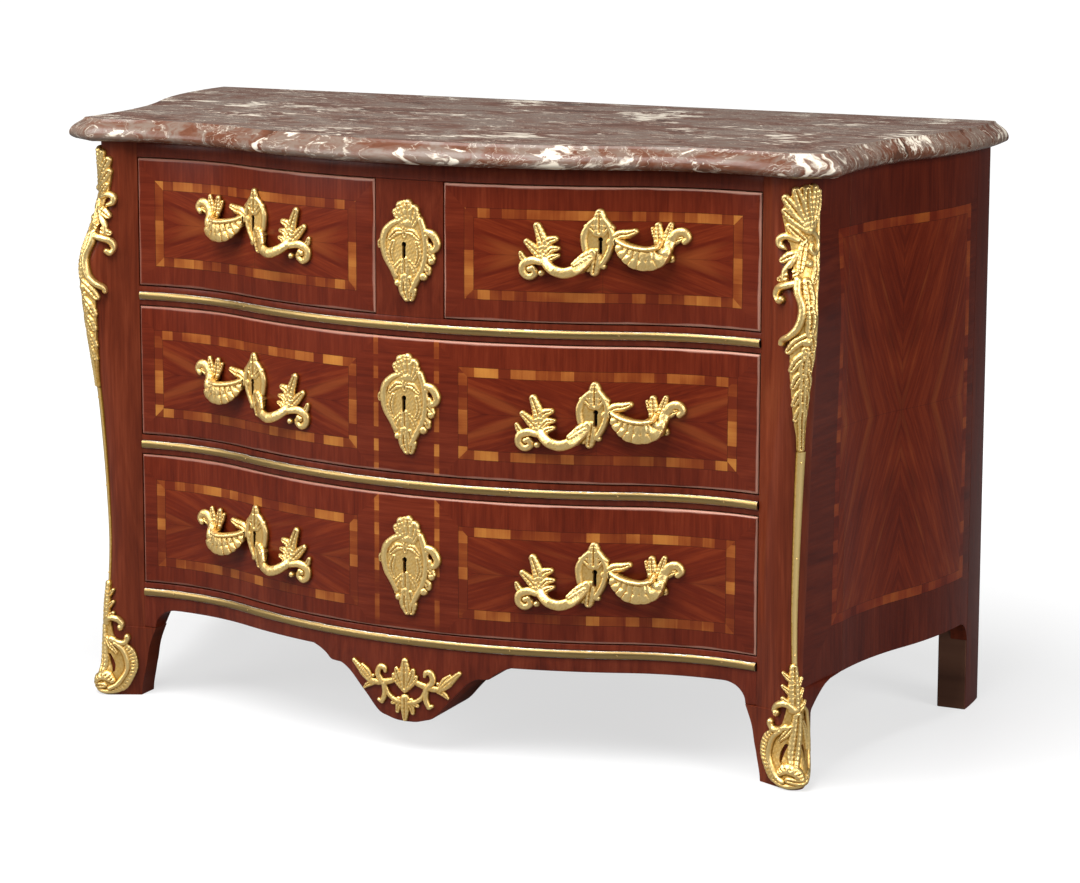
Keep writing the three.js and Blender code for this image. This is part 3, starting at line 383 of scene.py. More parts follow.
def corner_section(z):
    """The nose of a corner at one height, and where its flanks leave it for the front and side."""
    level = z / FLOOR_TO_SLAB
    radius = NOSE_RADIUS * smooth_read(NOSE_SHARES, level)
    push = (CORNER_BULGE * smooth_read(BULGE_SHARES, level) - radius) * math.sqrt(0.5)
    centre = np.array([NOSE_X + push, NOSE_Y - push])
    on_foot = min(1, max(0, (SIDE_RAIL_BOTTOM - z) / KNEE_RADIUS))
    knee = KNEE_RADIUS * (1 - math.sqrt(1 - (1 - on_foot) ** 2))
    rear_y = STILE_FRONT + (STILE_DEPTH if z > SIDE_RAIL_BOTTOM else FOOT_DEPTH + knee)
    rear = (float(side_x(rear_y)) - FOOT_TAPER * on_foot, rear_y)
    leg_edge = smooth_read(LEG_EDGE_SHARES, z / SHOULDER_HEIGHT)
    widened = -leg_edge * (SHOULDER_WIDTH if leg_edge > 0 else FOOT_INSET)
    inner_x = OPENING_HALF + (0 if z > SHOULDER_HEIGHT else widened)
    inner = (inner_x, float(front_y(inner_x, -SINK)))

    def towards(spot):
        run = np.array(spot) - centre
        reach = math.hypot(*run)
        return math.atan2(run[1], run[0]), math.acos(min(1, radius / reach))

    (inner_turn, inner_open), (rear_turn, rear_open) = towards(inner), towards(rear)
    inner_turn -= math.tau if inner_turn > 0 else 0
    return centre, radius, inner_turn + inner_open, rear_turn - rear_open, inner, rear


def corner_ring(z, hand):
    centre, radius, start, end, inner, rear = corner_section(z)
    nose = [
        (centre[0] + radius * math.cos(a), centre[1] + radius * math.sin(a))
        for a in np.linspace(start, end, 17)
    ]
    first, last = np.array(nose[0]), np.array(nose[-1])
    near = [tuple(np.array(inner) + (first - inner) * t) for t in (0, 0.5)]
    far = [tuple(last + (np.array(rear) - last) * t) for t in (0.5, 1)]
    return [(hand * x, y, z) for x, y in near + nose + far + [(inner[0], rear[1])]]


def room_within(add, spot, centre, half):
    """How far a spot is from the middle of a rectangle, and its room to the sides and the nearest side."""
    off_middle = add("VectorMath", {0: spot, 1: (*centre, 0)}, operation="SUBTRACT")
    reach = add("VectorMath", {0: off_middle}, operation="ABSOLUTE")
    room = add("VectorMath", {0: (*half, 0), 1: reach}, operation="SUBTRACT")
    rooms = add("SeparateXYZ", {0: room}).outputs
    return reach, rooms, add("Math", {0: rooms[0], 1: rooms[1]}, operation="MINIMUM")


def marquetry(
    name, across_axis, centre, half, lean, seed,
    band=BAND_TONES, frame=FRAME_TONES, fold=None, strings=(), rim=None,
):
    """A veneered panel: frame, light band and four turned leaves, laid out in metres on the face.

    centre and half give the outer edge of the light band, lean is the slope of the leaves, fold is
    the line about which the panel is mirrored, and rim holds two corners of a lip with a painted highlight.
    """
    material, add, shader, place = new_finish(name)
    apart = add("SeparateXYZ", {0: place}).outputs
    face_across, up = apart[across_axis], apart[2]
    across = face_across
    if fold is not None:
        from_fold = add("Math", {0: across, 1: fold}, operation="SUBTRACT")
        across = add("Math", {0: from_fold}, operation="ABSOLUTE")
    spot = add("CombineXYZ", {0: across, 1: up})
    leaf, rooms, inside = room_within(add, spot, centre, half)
    upright = add("Math", {0: rooms[0], 1: rooms[1]}, operation="LESS_THAN")
    on_leaf = add("Math", {0: inside, 1: BAND_WIDTH}, operation="GREATER_THAN")
    on_band = add("Math", {0: inside, 1: BAND_WIDTH / 2, 2: BAND_WIDTH / 2}, operation="COMPARE")
    turned = add("CombineXYZ", {0: up, 1: across})
    cross_cut = add("Mix", {0: upright, 4: spot, 5: turned}, data_type="VECTOR")
    cos, sin = math.cos(lean), math.sin(lean)
    leaf_across = add("VectorMath", {0: leaf, 1: (-sin, cos, 0)}, operation="DOT_PRODUCT")
    leaf_along = add("VectorMath", {0: leaf, 1: (cos, sin, 0)}, operation="DOT_PRODUCT")
    leaf_grain = add("CombineXYZ", {0: leaf_across, 1: leaf_along})
    grain = add("Mix", {0: on_leaf, 4: cross_cut, 5: leaf_grain}, data_type="VECTOR")
    figure = grained(add, grain, VENEER_RING, VENEER_FLOW, seed)
    frame_colour = add("ValToRGB", {0: figure}, stops=list(zip(FRAME_SHARES, frame)))
    leaf_colour = add("ValToRGB", {0: figure}, stops=list(zip(LEAF_SHARES, LEAF_TONES)))

    # Paler sapwood streaks run with the grain of the leaves, strongest near one edge of each log.
    drawn_out = add("VectorMath", {
        0: leaf_grain, 1: SAP_STREAKS, 2: (seed, 0, 0),
    }, operation="MULTIPLY_ADD")
    streaks = add("TexNoise", {
        "Vector": drawn_out, "Scale": 1, "Detail": 2, "Roughness": 0.5, "Distortion": 0.5,
    })
    sap = add("MapRange", {0: streaks, 1: 0.58, 2: 0.78, 3: 0, 4: 0.5})
    leaf_mixed = add("Mix", {0: sap, 6: leaf_colour, 7: linear(SAP_TONE)}, data_type="RGBA")

    # The band is cut into short blocks across the grain, each from another place in the log.
    steps = add("VectorMath", {0: cross_cut, 1: (BAND_BLOCK, WHOLE, 1)}, operation="SNAP")
    block_seed = add("VectorMath", {0: steps, 1: (seed, 0, 0)}, operation="ADD")
    block = add("TexWhiteNoise", {"Vector": block_seed})
    wide = add("VectorMath", {
        0: spot, 1: (1 / DRIFT, 1 / DRIFT, 1), 2: (seed, seed, 0),
    }, operation="MULTIPLY_ADD")
    drift = add("TexNoise", {"Vector": wide, "Scale": 1, "Detail": 2})
    tone = add("Mix", {0: 0.62, 2: block, 3: drift})
    tone = add("Mix", {0: 0.3, 2: tone, 3: figure})
    band_colour = add("ValToRGB", {0: tone}, stops=list(zip(BAND_SHARES, band)))

    # Over the frame lie the leaves, the band, the strings, dark lines beside them, seams and, on a lip, a
    # painted highlight.
    layers = [(on_leaf, leaf_mixed), (on_band, band_colour)]
    for middle, width in strings:
        string = add("Math", {0: across, 1: middle, 2: width / 2}, operation="COMPARE")
        layers.append((string, band_colour))
    for edge in (0, BAND_WIDTH):
        line = add("Math", {0: inside, 1: edge, 2: LINE_WIDTH / 2}, operation="COMPARE")
        layers.append((add("Math", {0: line, 1: 0.7}, operation="MULTIPLY"), linear(LINE_TONE)))
    joint = add("SeparateXYZ", {0: leaf}).outputs
    nearest = add("Math", {0: joint[0], 1: joint[1]}, operation="MINIMUM")
    seam = add("MapRange", {0: nearest, 1: 0, 2: LINE_WIDTH, 3: 0.45, 4: 0})
    layers.append((add("Math", {0: seam, 1: on_leaf}, operation="MULTIPLY"), linear(LINE_TONE)))
    # Painted highlight: a pale line along the front-facing rounded lip stands in for the lights' glint, stronger
    # towards the right, and its width drifts with the band's mottle.
    if rim:
        low, high = np.array(rim)
        face_spot = add("CombineXYZ", {0: face_across, 1: up})
        _, _, gap = room_within(add, face_spot, (low + high) / 2, (high - low) / 2)
        painted_light_with_mottle = add("Math", {0: drift, 1: LIP_HIGHLIGHT_WIDTH * 2}, operation="MULTIPLY")
        facing = add("SeparateXYZ", {0: add("NewGeometry").outputs["Normal"]}).outputs
        pale = add("MapRange", {0: gap, 1: LIP_HIGHLIGHT_WIDTH / 3, 2: painted_light_with_mottle, 3: 0.85, 4: 0})
        on_lip = add("MapRange", {0: facing[1], 1: -0.4, 2: -0.1, 3: 1, 4: 0})
        highlight_towards_right = add("MapRange", {
            0: face_across, 1: -OPENING_HALF, 2: OPENING_HALF, 3: LIP_HIGHLIGHT_LEFT, 4: LIP_HIGHLIGHT_RIGHT,
        })
        for share in (on_lip, highlight_towards_right):
            pale = add("Math", {0: pale, 1: share}, operation="MULTIPLY")
        layers.append((pale, linear(LIP_HIGHLIGHT_TONE)))
    colour = frame_colour
    for share, tone in layers:
        colour = add("Mix", {0: share, 6: colour, 7: tone}, data_type="RGBA")
    polish(add, shader, colour, figure)
    return material


SIDE_PANEL_CENTRE = (0.050, 0.478)
SIDE_PANEL_HALF = (0.173, 0.273)
SIDE_FRAME_TONES = ("3c1008", "501a0d", "602413")
side_panel = marquetry(
    "kingwood_side_panel", 1, SIDE_PANEL_CENTRE, SIDE_PANEL_HALF, math.radians(66), 11.0,
    band=("521608", "6a2410", "7c3416", "96501f"), frame=SIDE_FRAME_TONES,
)
kingwood_stile = plain_veneer("kingwood_on_the_stiles", 0, 2, STILE_TONES, STILE_RING, STILE_FLOW, 6.0)
stile_levels = sorted({
    *np.linspace(0, SHOULDER_HEIGHT, 22), SHOULDER_HEIGHT + FIT,
    *np.linspace(SHOULDER_HEIGHT + 0.002, SIDE_RAIL_BOTTOM, 9), SIDE_RAIL_BOTTOM + FIT,
    *np.linspace(SIDE_RAIL_BOTTOM + 0.006, FLOOR_TO_SLAB, 110),
})
for side, hand in HANDS:
    rings = [corner_ring(z, hand) for z in stile_levels]
    flank = [0] * (len(rings[0]) - 4) + [1, 1, 0, 0]
    stile = loft(f"{side}_stile", rings, [kingwood_stile, side_panel], edge_slots=flank)
    stands_for(stile, "carcass", "veneer", f"{side}_front_stile")

# Side boards: shaped oak boards veneered as a framed panel, with a kingwood frame, a light
# cross-cut band, and four leaves of kingwood turned so that their figure meets in the middle.

SIDE_THICKNESS = 0.024
SIDE_NEAR, SIDE_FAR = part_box("right_side_board")[0].y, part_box("right_side_board")[1].y
BRACKET_RADIUS = 0.030

for side, hand in HANDS:
    ys = np.concatenate([
        np.linspace(SIDE_NEAR, SIDE_FAR - BRACKET_RADIUS, 34),
        SIDE_FAR - BRACKET_RADIUS + BRACKET_RADIUS * np.sin(np.linspace(0, math.pi / 2, 13))[1:],
    ])
    rings = []
    for y in ys:
        run = max(0, y - (SIDE_FAR - BRACKET_RADIUS))
        low = SIDE_RAIL_BOTTOM - BRACKET_RADIUS + math.sqrt(max(BRACKET_RADIUS**2 - run**2, 0))
        outer, inner = (hand * float(side_x(y, out)) for out in (0, -SIDE_THICKNESS))
        corners = (outer, low), (outer, FLOOR_TO_SLAB), (inner, FLOOR_TO_SLAB), (inner, low)
        rings.append([(x, y, z) for x, z in corners])
    board = loft(f"{side}_side", rings, [side_panel, oak_upright, kingwood_stile],
                 edge_slots=[0, 1, 1, 2], end_slot=1)
    stands_for(board, "carcass", "veneer", f"{side}_side_board")

# Rails and centre stile: oak rails veneered across in kingwood, between the drawers.
# The veneer runs upright on them, dark and close-grained, under the same French polish.

RAIL_TONES = ("42140a", "5c2212", "70301c")
RAIL_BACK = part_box("upper_drawer_rail")[1].y
STRIP_HEIGHT, GROOVE, RAIL_ROUND = 0.012, 0.004, 0.0012
kingwood_rail = plain_veneer("kingwood_across_the_rails", 0, 2, RAIL_TONES, 0.006, 0.05, 8.0)


def across_front(name, xs, section, materials, **how):
    """A piece that runs across the front, from its (y, z) section at each x."""
    return loft(name, [[(x, float(y), z) for y, z in section(x)] for x in xs], materials, **how)


def spread_x(low, high, step=0.008):
    return np.linspace(low, high, max(2, int(math.ceil((high - low) / step)) + 1))


def rail_section(x, low, high, groove=None, chamfer=0):
    face, reach = front_y(x, -SINK), STRIP_HEIGHT / 2 + FIT
    round_low = [(face + RAIL_ROUND * out, low + RAIL_ROUND * up) for out, up in ((1, 0), (0.3, 0.3), (0, 1))]
    round_high = [(y, high - (z - low)) for y, z in reversed(round_low)]
    middle = []
    if groove is not None:
        back = front_y(x, -SINK - GROOVE)
        middle = [(face, groove - reach), (back, groove - reach), (back, groove + reach), (face, groove + reach)]
    behind = [(RAIL_BACK, low)]
    if chamfer:
        behind = [(RAIL_BACK, low + chamfer), (max(face + 2 * RAIL_ROUND, RAIL_BACK - chamfer), low)]
    return behind + round_low + middle + round_high + [(RAIL_BACK, high)]


rail_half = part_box("upper_drawer_rail")[1].x
for row, node in (("top", "top_front_rail"), ("upper", "upper_drawer_rail"), ("lower", "lower_drawer_rail")):
    low, high = heights(node)
    groove = None if row == "top" else (low + high) / 2
    rail = across_front(f"{row}_rail", spread_x(-rail_half, rail_half),
                        lambda x: rail_section(x, low, high, groove), [kingwood_rail])
    stands_for(rail, "carcass", "dark_veneer", node)

centre_low, centre_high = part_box("centre_stile")
centre_stile = across_front(
    "centre_stile_front", spread_x(centre_low.x, centre_high.x, 0.006),
    lambda x: [(centre_high.y, centre_low.z), (front_y(x, -SINK), centre_low.z),
               (front_y(x, -SINK), centre_high.z), (centre_high.y, centre_high.z)],
    [kingwood_rail],
)
stands_for(centre_stile, "carcass", "dark_veneer", "centre_stile")

# Apron rail: the bottom rail, sawn to a scalloped edge that dips to a rounded tongue.
# Kingwood veneer laid upright, a little redder than the rails above it.

APRON_TONES = ("46160c", "622414", "78341f")
APRON_EDGE, TONGUE_HALF, TONGUE_DROP = 0.133, 0.156, 0.0915
TONGUE_X, APRON_CHAMFER = -0.008, 0.024
APRON_SHARES = [
    (0, 1), (0.1, 0.99), (0.19, 0.95), (0.26, 0.91), (0.32, 0.82), (0.385, 0.69), (0.475, 0.525),
    (0.577, 0.34), (0.673, 0.23), (0.75, 0.215), (0.8, 0.2), (0.853, 0.12), (0.93, 0.045), (1, 0),
]
KNEE_RUN = 0.034
knee_half = OPENING_HALF - SHOULDER_WIDTH - KNEE_RUN
shoulder_top = SHOULDER_HEIGHT + 2 * FIT


def apron_bottom(x):
    on_tongue = abs(x - TONGUE_X) / TONGUE_HALF
    if on_tongue < 1:
        return APRON_EDGE - TONGUE_DROP * smooth_read(APRON_SHARES, on_tongue)
    reach = abs(x)
    if reach < knee_half:
        return APRON_EDGE
    share = min(1, (reach - knee_half) / KNEE_RUN)
    return shoulder_top + (APRON_EDGE - shoulder_top) * math.sqrt(1 - share**2)


kingwood_apron = plain_veneer("kingwood_on_the_apron", 0, 2, APRON_TONES, 0.006, 0.07, 15.0)
end_xs = np.concatenate([
    np.linspace(TONGUE_HALF - TONGUE_X, knee_half, 38)[1:],
    knee_half + KNEE_RUN * np.sin(np.linspace(0, math.pi / 2, 14))[1:], [rail_half],
])
tongue_xs = np.linspace(TONGUE_X - TONGUE_HALF, TONGUE_X + TONGUE_HALF, 121)
apron_top, apron_middle = heights("apron_rail")[1], sum(heights("apron_brass_strip")) / 2
apron = across_front(
    "apron", np.concatenate([-end_xs[::-1], tongue_xs, end_xs]),
    lambda x: rail_section(x, apron_bottom(x), apron_top, apron_middle, APRON_CHAMFER),
    [kingwood_apron], crease=50,
)
stands_for(apron, "carcass", "dark_veneer", "apron_rail")

# Drawer fronts: bowed oak fronts with a rounded lip, veneered like the sides: a kingwood
# frame, a light band of short blocks and four turned leaves, with strings beside the middle.

FRONT_THICKNESS, LIP = 0.022, 0.004
BAND_INNER, BAND_OUTER = (0.0828, 0.0788), (0.4556, 0.4552)
BAND_TOP_EDGES = {"top": 0.032, "middle": 0.0345, "bottom": 0.0365}
BAND_BOTTOM_EDGES = {"top": 0.029, "middle": 0.027, "bottom": 0.0255}
STRING_PLACE, STRING_WIDTH = 0.047, 0.0075
FITTINGS_X = -0.005
CENTRE_HALF = centre_high.x


def front_finish(drawer, seed):
    low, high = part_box(f"{drawer}_front")
    row, is_long = drawer.split("_")[0], low.x < 0 < high.x
    inner, outer = BAND_INNER[is_long], BAND_OUTER[is_long]
    bottom, top = low.z + BAND_BOTTOM_EDGES[row], high.z - BAND_TOP_EDGES[row]
    centre = ((inner + outer) / 2, (bottom + top) / 2)
    half = ((outer - inner) / 2, (top - bottom) / 2)
    # The front's outline goes in as rim, and a highlight is painted along its lip.
    return marquetry(
        f"kingwood_{drawer}", 0, centre, half, math.atan2(half[1], half[0]), seed,
        fold=FITTINGS_X if is_long else 0, strings=[(STRING_PLACE, STRING_WIDTH)] if is_long else [],
        rim=((low.x, low.z), (high.x, high.z)),
    )


def drawer_front(drawer, material):
    low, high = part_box(f"{drawer}_front")
    turns = np.linspace(0, math.pi / 2, 6)
    run, drop = LIP * (1 - np.cos(turns)), LIP * (1 - np.sin(turns))
    xs = np.concatenate([low.x + run, spread_x(low.x + LIP, high.x - LIP, 0.006)[1:-1], high.x - run[::-1]])

    def section(x):
        end = max(0.0, LIP - min(x - low.x, high.x - x))
        end_drop = LIP - math.sqrt(max(LIP**2 - end**2, 0))
        face = [(front_y(x, -max(d, end_drop)), r) for r, d in zip(run, drop)]
        rear = front_y(x, -FRONT_THICKNESS)
        lower = [(y, low.z + r) for y, r in face]
        upper = [(y, high.z - r) for y, r in reversed(face)]
        return [(rear, low.z)] + lower + upper + [(rear, high.z)]

    count = 2 * len(run) + 2
    slots = [1] + [0] * (count - 3) + [1, 1]
    return across_front(f"{drawer}_bowed_front", xs, section, [material, oak_level],
                        edge_slots=slots, end_slot=0, crease=50)


for seed, drawer in enumerate(DRAWERS):
    finish = front_finish(drawer, 20.0 + 6.5 * (seed if seed > 1 else 0))
    stands_for(drawer_front(drawer, finish), drawer, "veneer", f"{drawer}_front")

# Brass strips: half-round brass drawn through a die, let into a groove along each rail.
# Old tarnished brass; its crown is painted paler, partly as rubbed brass and partly as a painted highlight, and
# its edges are painted dark as painted shade of the groove beside it.

# The darkest tone is painted shade at the strip's edges in the groove, and the palest is a painted highlight on
# its rubbed crown.
BRASS_TONES = "2e2014", "6a5334", "a08656", "cdb78a"
STRIP_PROUD, STRIP_END, STRIP_PINS, PIN_RADIUS = 0.0045, 0.001, 7, 0.0013

brass, add, shader, place = new_finish("drawn_brass")
crown_share = add("Attribute", attribute_name="polish").outputs["Fac"]
drawn_out = add("VectorMath", {0: place, 1: (40, 40, 300)}, operation="MULTIPLY")
tarnish = add("TexNoise", {"Vector": drawn_out, "Scale": 1, "Detail": 5, "Roughness": 0.62})
# Tarnish mottle plus the place from edge to crown: painted shade at the edges, rubbed brass and a painted
# highlight on the crown.
painted_light_with_mottle = add("Math", {0: tarnish, 1: crown_share}, operation="ADD")
colour = add("ValToRGB", {0: painted_light_with_mottle}, stops=list(zip((0.5, 0.85, 1.15, 1.5), BRASS_TONES)))
dull = add("MapRange", {0: painted_light_with_mottle, 1: 0.6, 2: 1.6, 3: 0.62, 4: 0.34})
feed(shader, {"Base Color": colour, "Roughness": dull, "Metallic": 1})


def drawn_strip_tree():
    """Sweeps a half-round section along a path, and sets round-headed pins along its crown."""
    tree = bpy.data.node_groups.new("half-round strip with pins", "GeometryNodeTree")
    sockets = {"Path": "Geometry", "Half Width": "Float", "Rise": "Float", "Seat": "Float",
               "Pins": "Int", "Pin Radius": "Float", "Metal": "Material"}
    for label, kind in sockets.items():
        tree.interface.new_socket(label, in_out="INPUT", socket_type=f"NodeSocket{kind}")
    tree.interface.new_socket("Strip", in_out="OUTPUT", socket_type="NodeSocketGeometry")
    add = partial(add_node, tree)
    given = add("NodeGroupInput").outputs
    outward = add("GeometryNodeInputNamedAttribute", {"Name": "outward"}, data_type="FLOAT_VECTOR")
    taper = add("GeometryNodeInputNamedAttribute", {"Name": "taper"}, data_type="FLOAT")
    line = add("GeometryNodeMeshToCurve", {0: given["Path"]})
    path = add("GeometryNodeSetCurveNormal", {"Curve": line, "Normal": outward}, mode="FREE")
    ring = add("GeometryNodeCurvePrimitiveCircle", {"Resolution": 36, "Radius": 1})
    spot = add("SeparateXYZ", {0: add("GeometryNodeInputPosition")}).outputs
    crown = add("Math", {0: spot[0], 1: given["Rise"]}, operation="MULTIPLY")
    half_round = add("Math", {0: crown, 1: spot[0]}, operation="MINIMUM")
    seat = add("Math", {0: given["Seat"], 1: -1}, operation="MULTIPLY")
    depth = add("Math", {0: half_round, 1: seat}, operation="MAXIMUM")
    width = add("Math", {0: spot[1], 1: given["Half Width"]}, operation="MULTIPLY")
    # The place from back to crown is kept as polish; the brass finish reads it as painted shade at the edges and
    # a rubbed, painted highlight on the crown.
    kept = add("GeometryNodeStoreNamedAttribute", {
        "Geometry": ring, "Name": "polish", "Value": spot[0],
    }, data_type="FLOAT", domain="POINT")
    section = add("GeometryNodeSetPosition", {
        "Geometry": kept, "Position": add("CombineXYZ", {0: depth, 1: width}),
    })
    swept = add("GeometryNodeCurveToMesh", {
        "Curve": path, "Profile Curve": section, "Scale": taper, "Fill Caps": True,
    })
    middle = add("GeometryNodeTrimCurve", {"Curve": path, "Start": 0.05, "End": 0.95})
    places = add("GeometryNodeCurveToPoints", {"Curve": middle, "Count": given["Pins"]}, mode="COUNT")
    lift = add("Math", {0: given["Rise"], 1: taper}, operation="MULTIPLY")
    to_crown = add("VectorMath", {0: outward, "Scale": lift}, operation="SCALE")
    on_crown = add("GeometryNodeSetPosition", {"Geometry": places, "Offset": to_crown})
    head = add("GeometryNodeMeshUVSphere", {"Segments": 10, "Rings": 7, "Radius": given["Pin Radius"]})
    head = add("GeometryNodeStoreNamedAttribute", {
        "Geometry": head, "Name": "polish", "Value": 0.8,
    }, data_type="FLOAT", domain="POINT")
    pins = add("GeometryNodeInstanceOnPoints", {"Points": on_crown, "Instance": head})
    both = add("GeometryNodeJoinGeometry", {0: swept})
    feed(both, {0: pins})
    real = add("GeometryNodeRealizeInstances", {"Geometry": both})
    finished = add("GeometryNodeSetMaterial", {"Geometry": real, "Material": given["Metal"]})
    add("NodeGroupOutput", {0: finished})
    return tree


strip_tree = drawn_strip_tree()


def drawn_strip(name, path, facing, taper, values):
    """Runs the strip's tree on a line of points that face outward, and keeps a plain mesh of it."""
    path, facing = np.array(path, float), np.array(facing, float)
    along = np.gradient(path, axis=0)
    along /= np.linalg.norm(along, axis=1, keepdims=True)
    outward = facing - along * (facing * along).sum(1, keepdims=True)
    outward /= np.linalg.norm(outward, axis=1, keepdims=True)
    line = bpy.data.meshes.new(f"{name}_path")
    line.from_pydata(path.tolist(), [(i, i + 1) for i in range(len(path) - 1)], [])
    line.attributes.new("outward", "FLOAT_VECTOR", "POINT").data.foreach_set("vector", outward.ravel())
    line.attributes.new("taper", "FLOAT", "POINT").data.foreach_set("value", taper)
    host = placed(f"{name}_path", line)
    maker = host.modifiers.new("strip", "NODES")
    maker.node_group = strip_tree
    for item in strip_tree.interface.items_tree:
        if item.in_out == "INPUT" and item.name in values:
            maker[item.identifier] = values[item.name]
    mesh = bpy.data.meshes.new_from_object(host.evaluated_get(bpy.context.evaluated_depsgraph_get()))
    bpy.data.objects.remove(host)
    turn_outward(mesh)
    mesh.name = name
    return shown(name, mesh, 60)


for row in ("upper", "lower", "apron"):
    low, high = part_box(f"{row}_brass_strip")
    xs = spread_x(low.x + STRIP_END, high.x - STRIP_END, 0.01)
    path = [(x, float(front_y(x, -SINK)), (low.z + high.z) / 2) for x in xs]
    strip = drawn_strip(f"{row}_strip", path, [(0, -1, 0)] * len(path), np.ones(len(path)), {
        "Half Width": STRIP_HEIGHT / 2, "Rise": STRIP_PROUD, "Seat": GROOVE - FIT,
        "Pins": STRIP_PINS, "Pin Radius": PIN_RADIUS, "Metal": brass,
    })
    stands_for(strip, "carcass", "brass", f"{row}_brass_strip")

# Gilt pulls: cast bronze, chased and fire gilded, fixed so that they stand off the wood between
# their ends. Each is a keyhole cartouche between a smooth leafy arm and a gadrooned one. Fire
# gilding leaves burnished crowns bright and hollows matt and brown.

GILT_TONES, GILT_PLACES = ("8c6a26", "b98f44", "dab062", "efd08c"), (0.05, 0.28, 0.48, 0.8)
STIPPLE = 0.0014
CAST_STEP, STROKE_STEP, CAST_MARGIN, CAST_BLUR = 0.7, 0.6, 4, 6
CAST_EDGE, CAST_SEAT, CAST_RIPPLE = 1.6, 0.2, 0.06
PULL_STAND_OFF = 19


def flowing(points, gap):
    """Spots at an even gap on a smooth line through the points, with each spot's share of the way."""
    points = np.array(points, float)
    if len(points) == 1:
        return points, np.zeros(1)
    ends = np.vstack([2 * points[0] - points[1], points, 2 * points[-1] - points[-2]])
    spots, shares = [], []
    for i in range(len(points) - 1):
        a, b, c, d = ends[i : i + 4]
        count = max(2, int(math.ceil(math.dist(b, c) / gap)))
        t = np.linspace(0, 1, count, endpoint=i == len(points) - 2)[:, None]
        spots.append(b + 0.5 * t * (c - a + t * (2 * a - 5 * b + 4 * c - d + t * (3 * b - a - 3 * c + d))))
        shares.append((i + t[:, 0]) / (len(points) - 1))
    return np.vstack(spots), np.concatenate(shares)


def crest(kind, across, along):
    """How high a stroke's face stands, from its middle to its edge, for each kind of stroke."""
    arch = np.sqrt(np.maximum(1 - across**2, 0))
    if kind == "leaf":
        vein = np.exp(-((across / 0.16) ** 2))
        ribs = 0.5 + 0.5 * np.cos(along - 3.2 * across)
        return arch**0.6 * (0.72 + 0.28 * np.sin(np.pi * across)) * (0.9 + 0.1 * ribs) - 0.16 * vein
    if kind == "shell":
        return arch**0.5 * (0.62 + 0.38 * np.abs(np.cos(along / 2)))
    if kind == "field":
        return 0.8 + 0.2 * arch
    return arch


def drawn(table):
    """Strokes from rows in millimetres: kind and height, a line's points, its half widths and lifts.

    A row runs on after a comma.
    """
    strokes = []
    for row in table.replace(",\n", ",").strip().splitlines():
        head, line, *rest = row.split(":")
        kind, height = head.split()
        points = [tuple(map(float, spot.split())) for spot in line.split(",")]
        halves, lifts = ([float(size) for size in part.split()] for part in [*rest, "0"][:2])
        strokes.append((kind, float(height), points, halves, lifts))
    return strokes


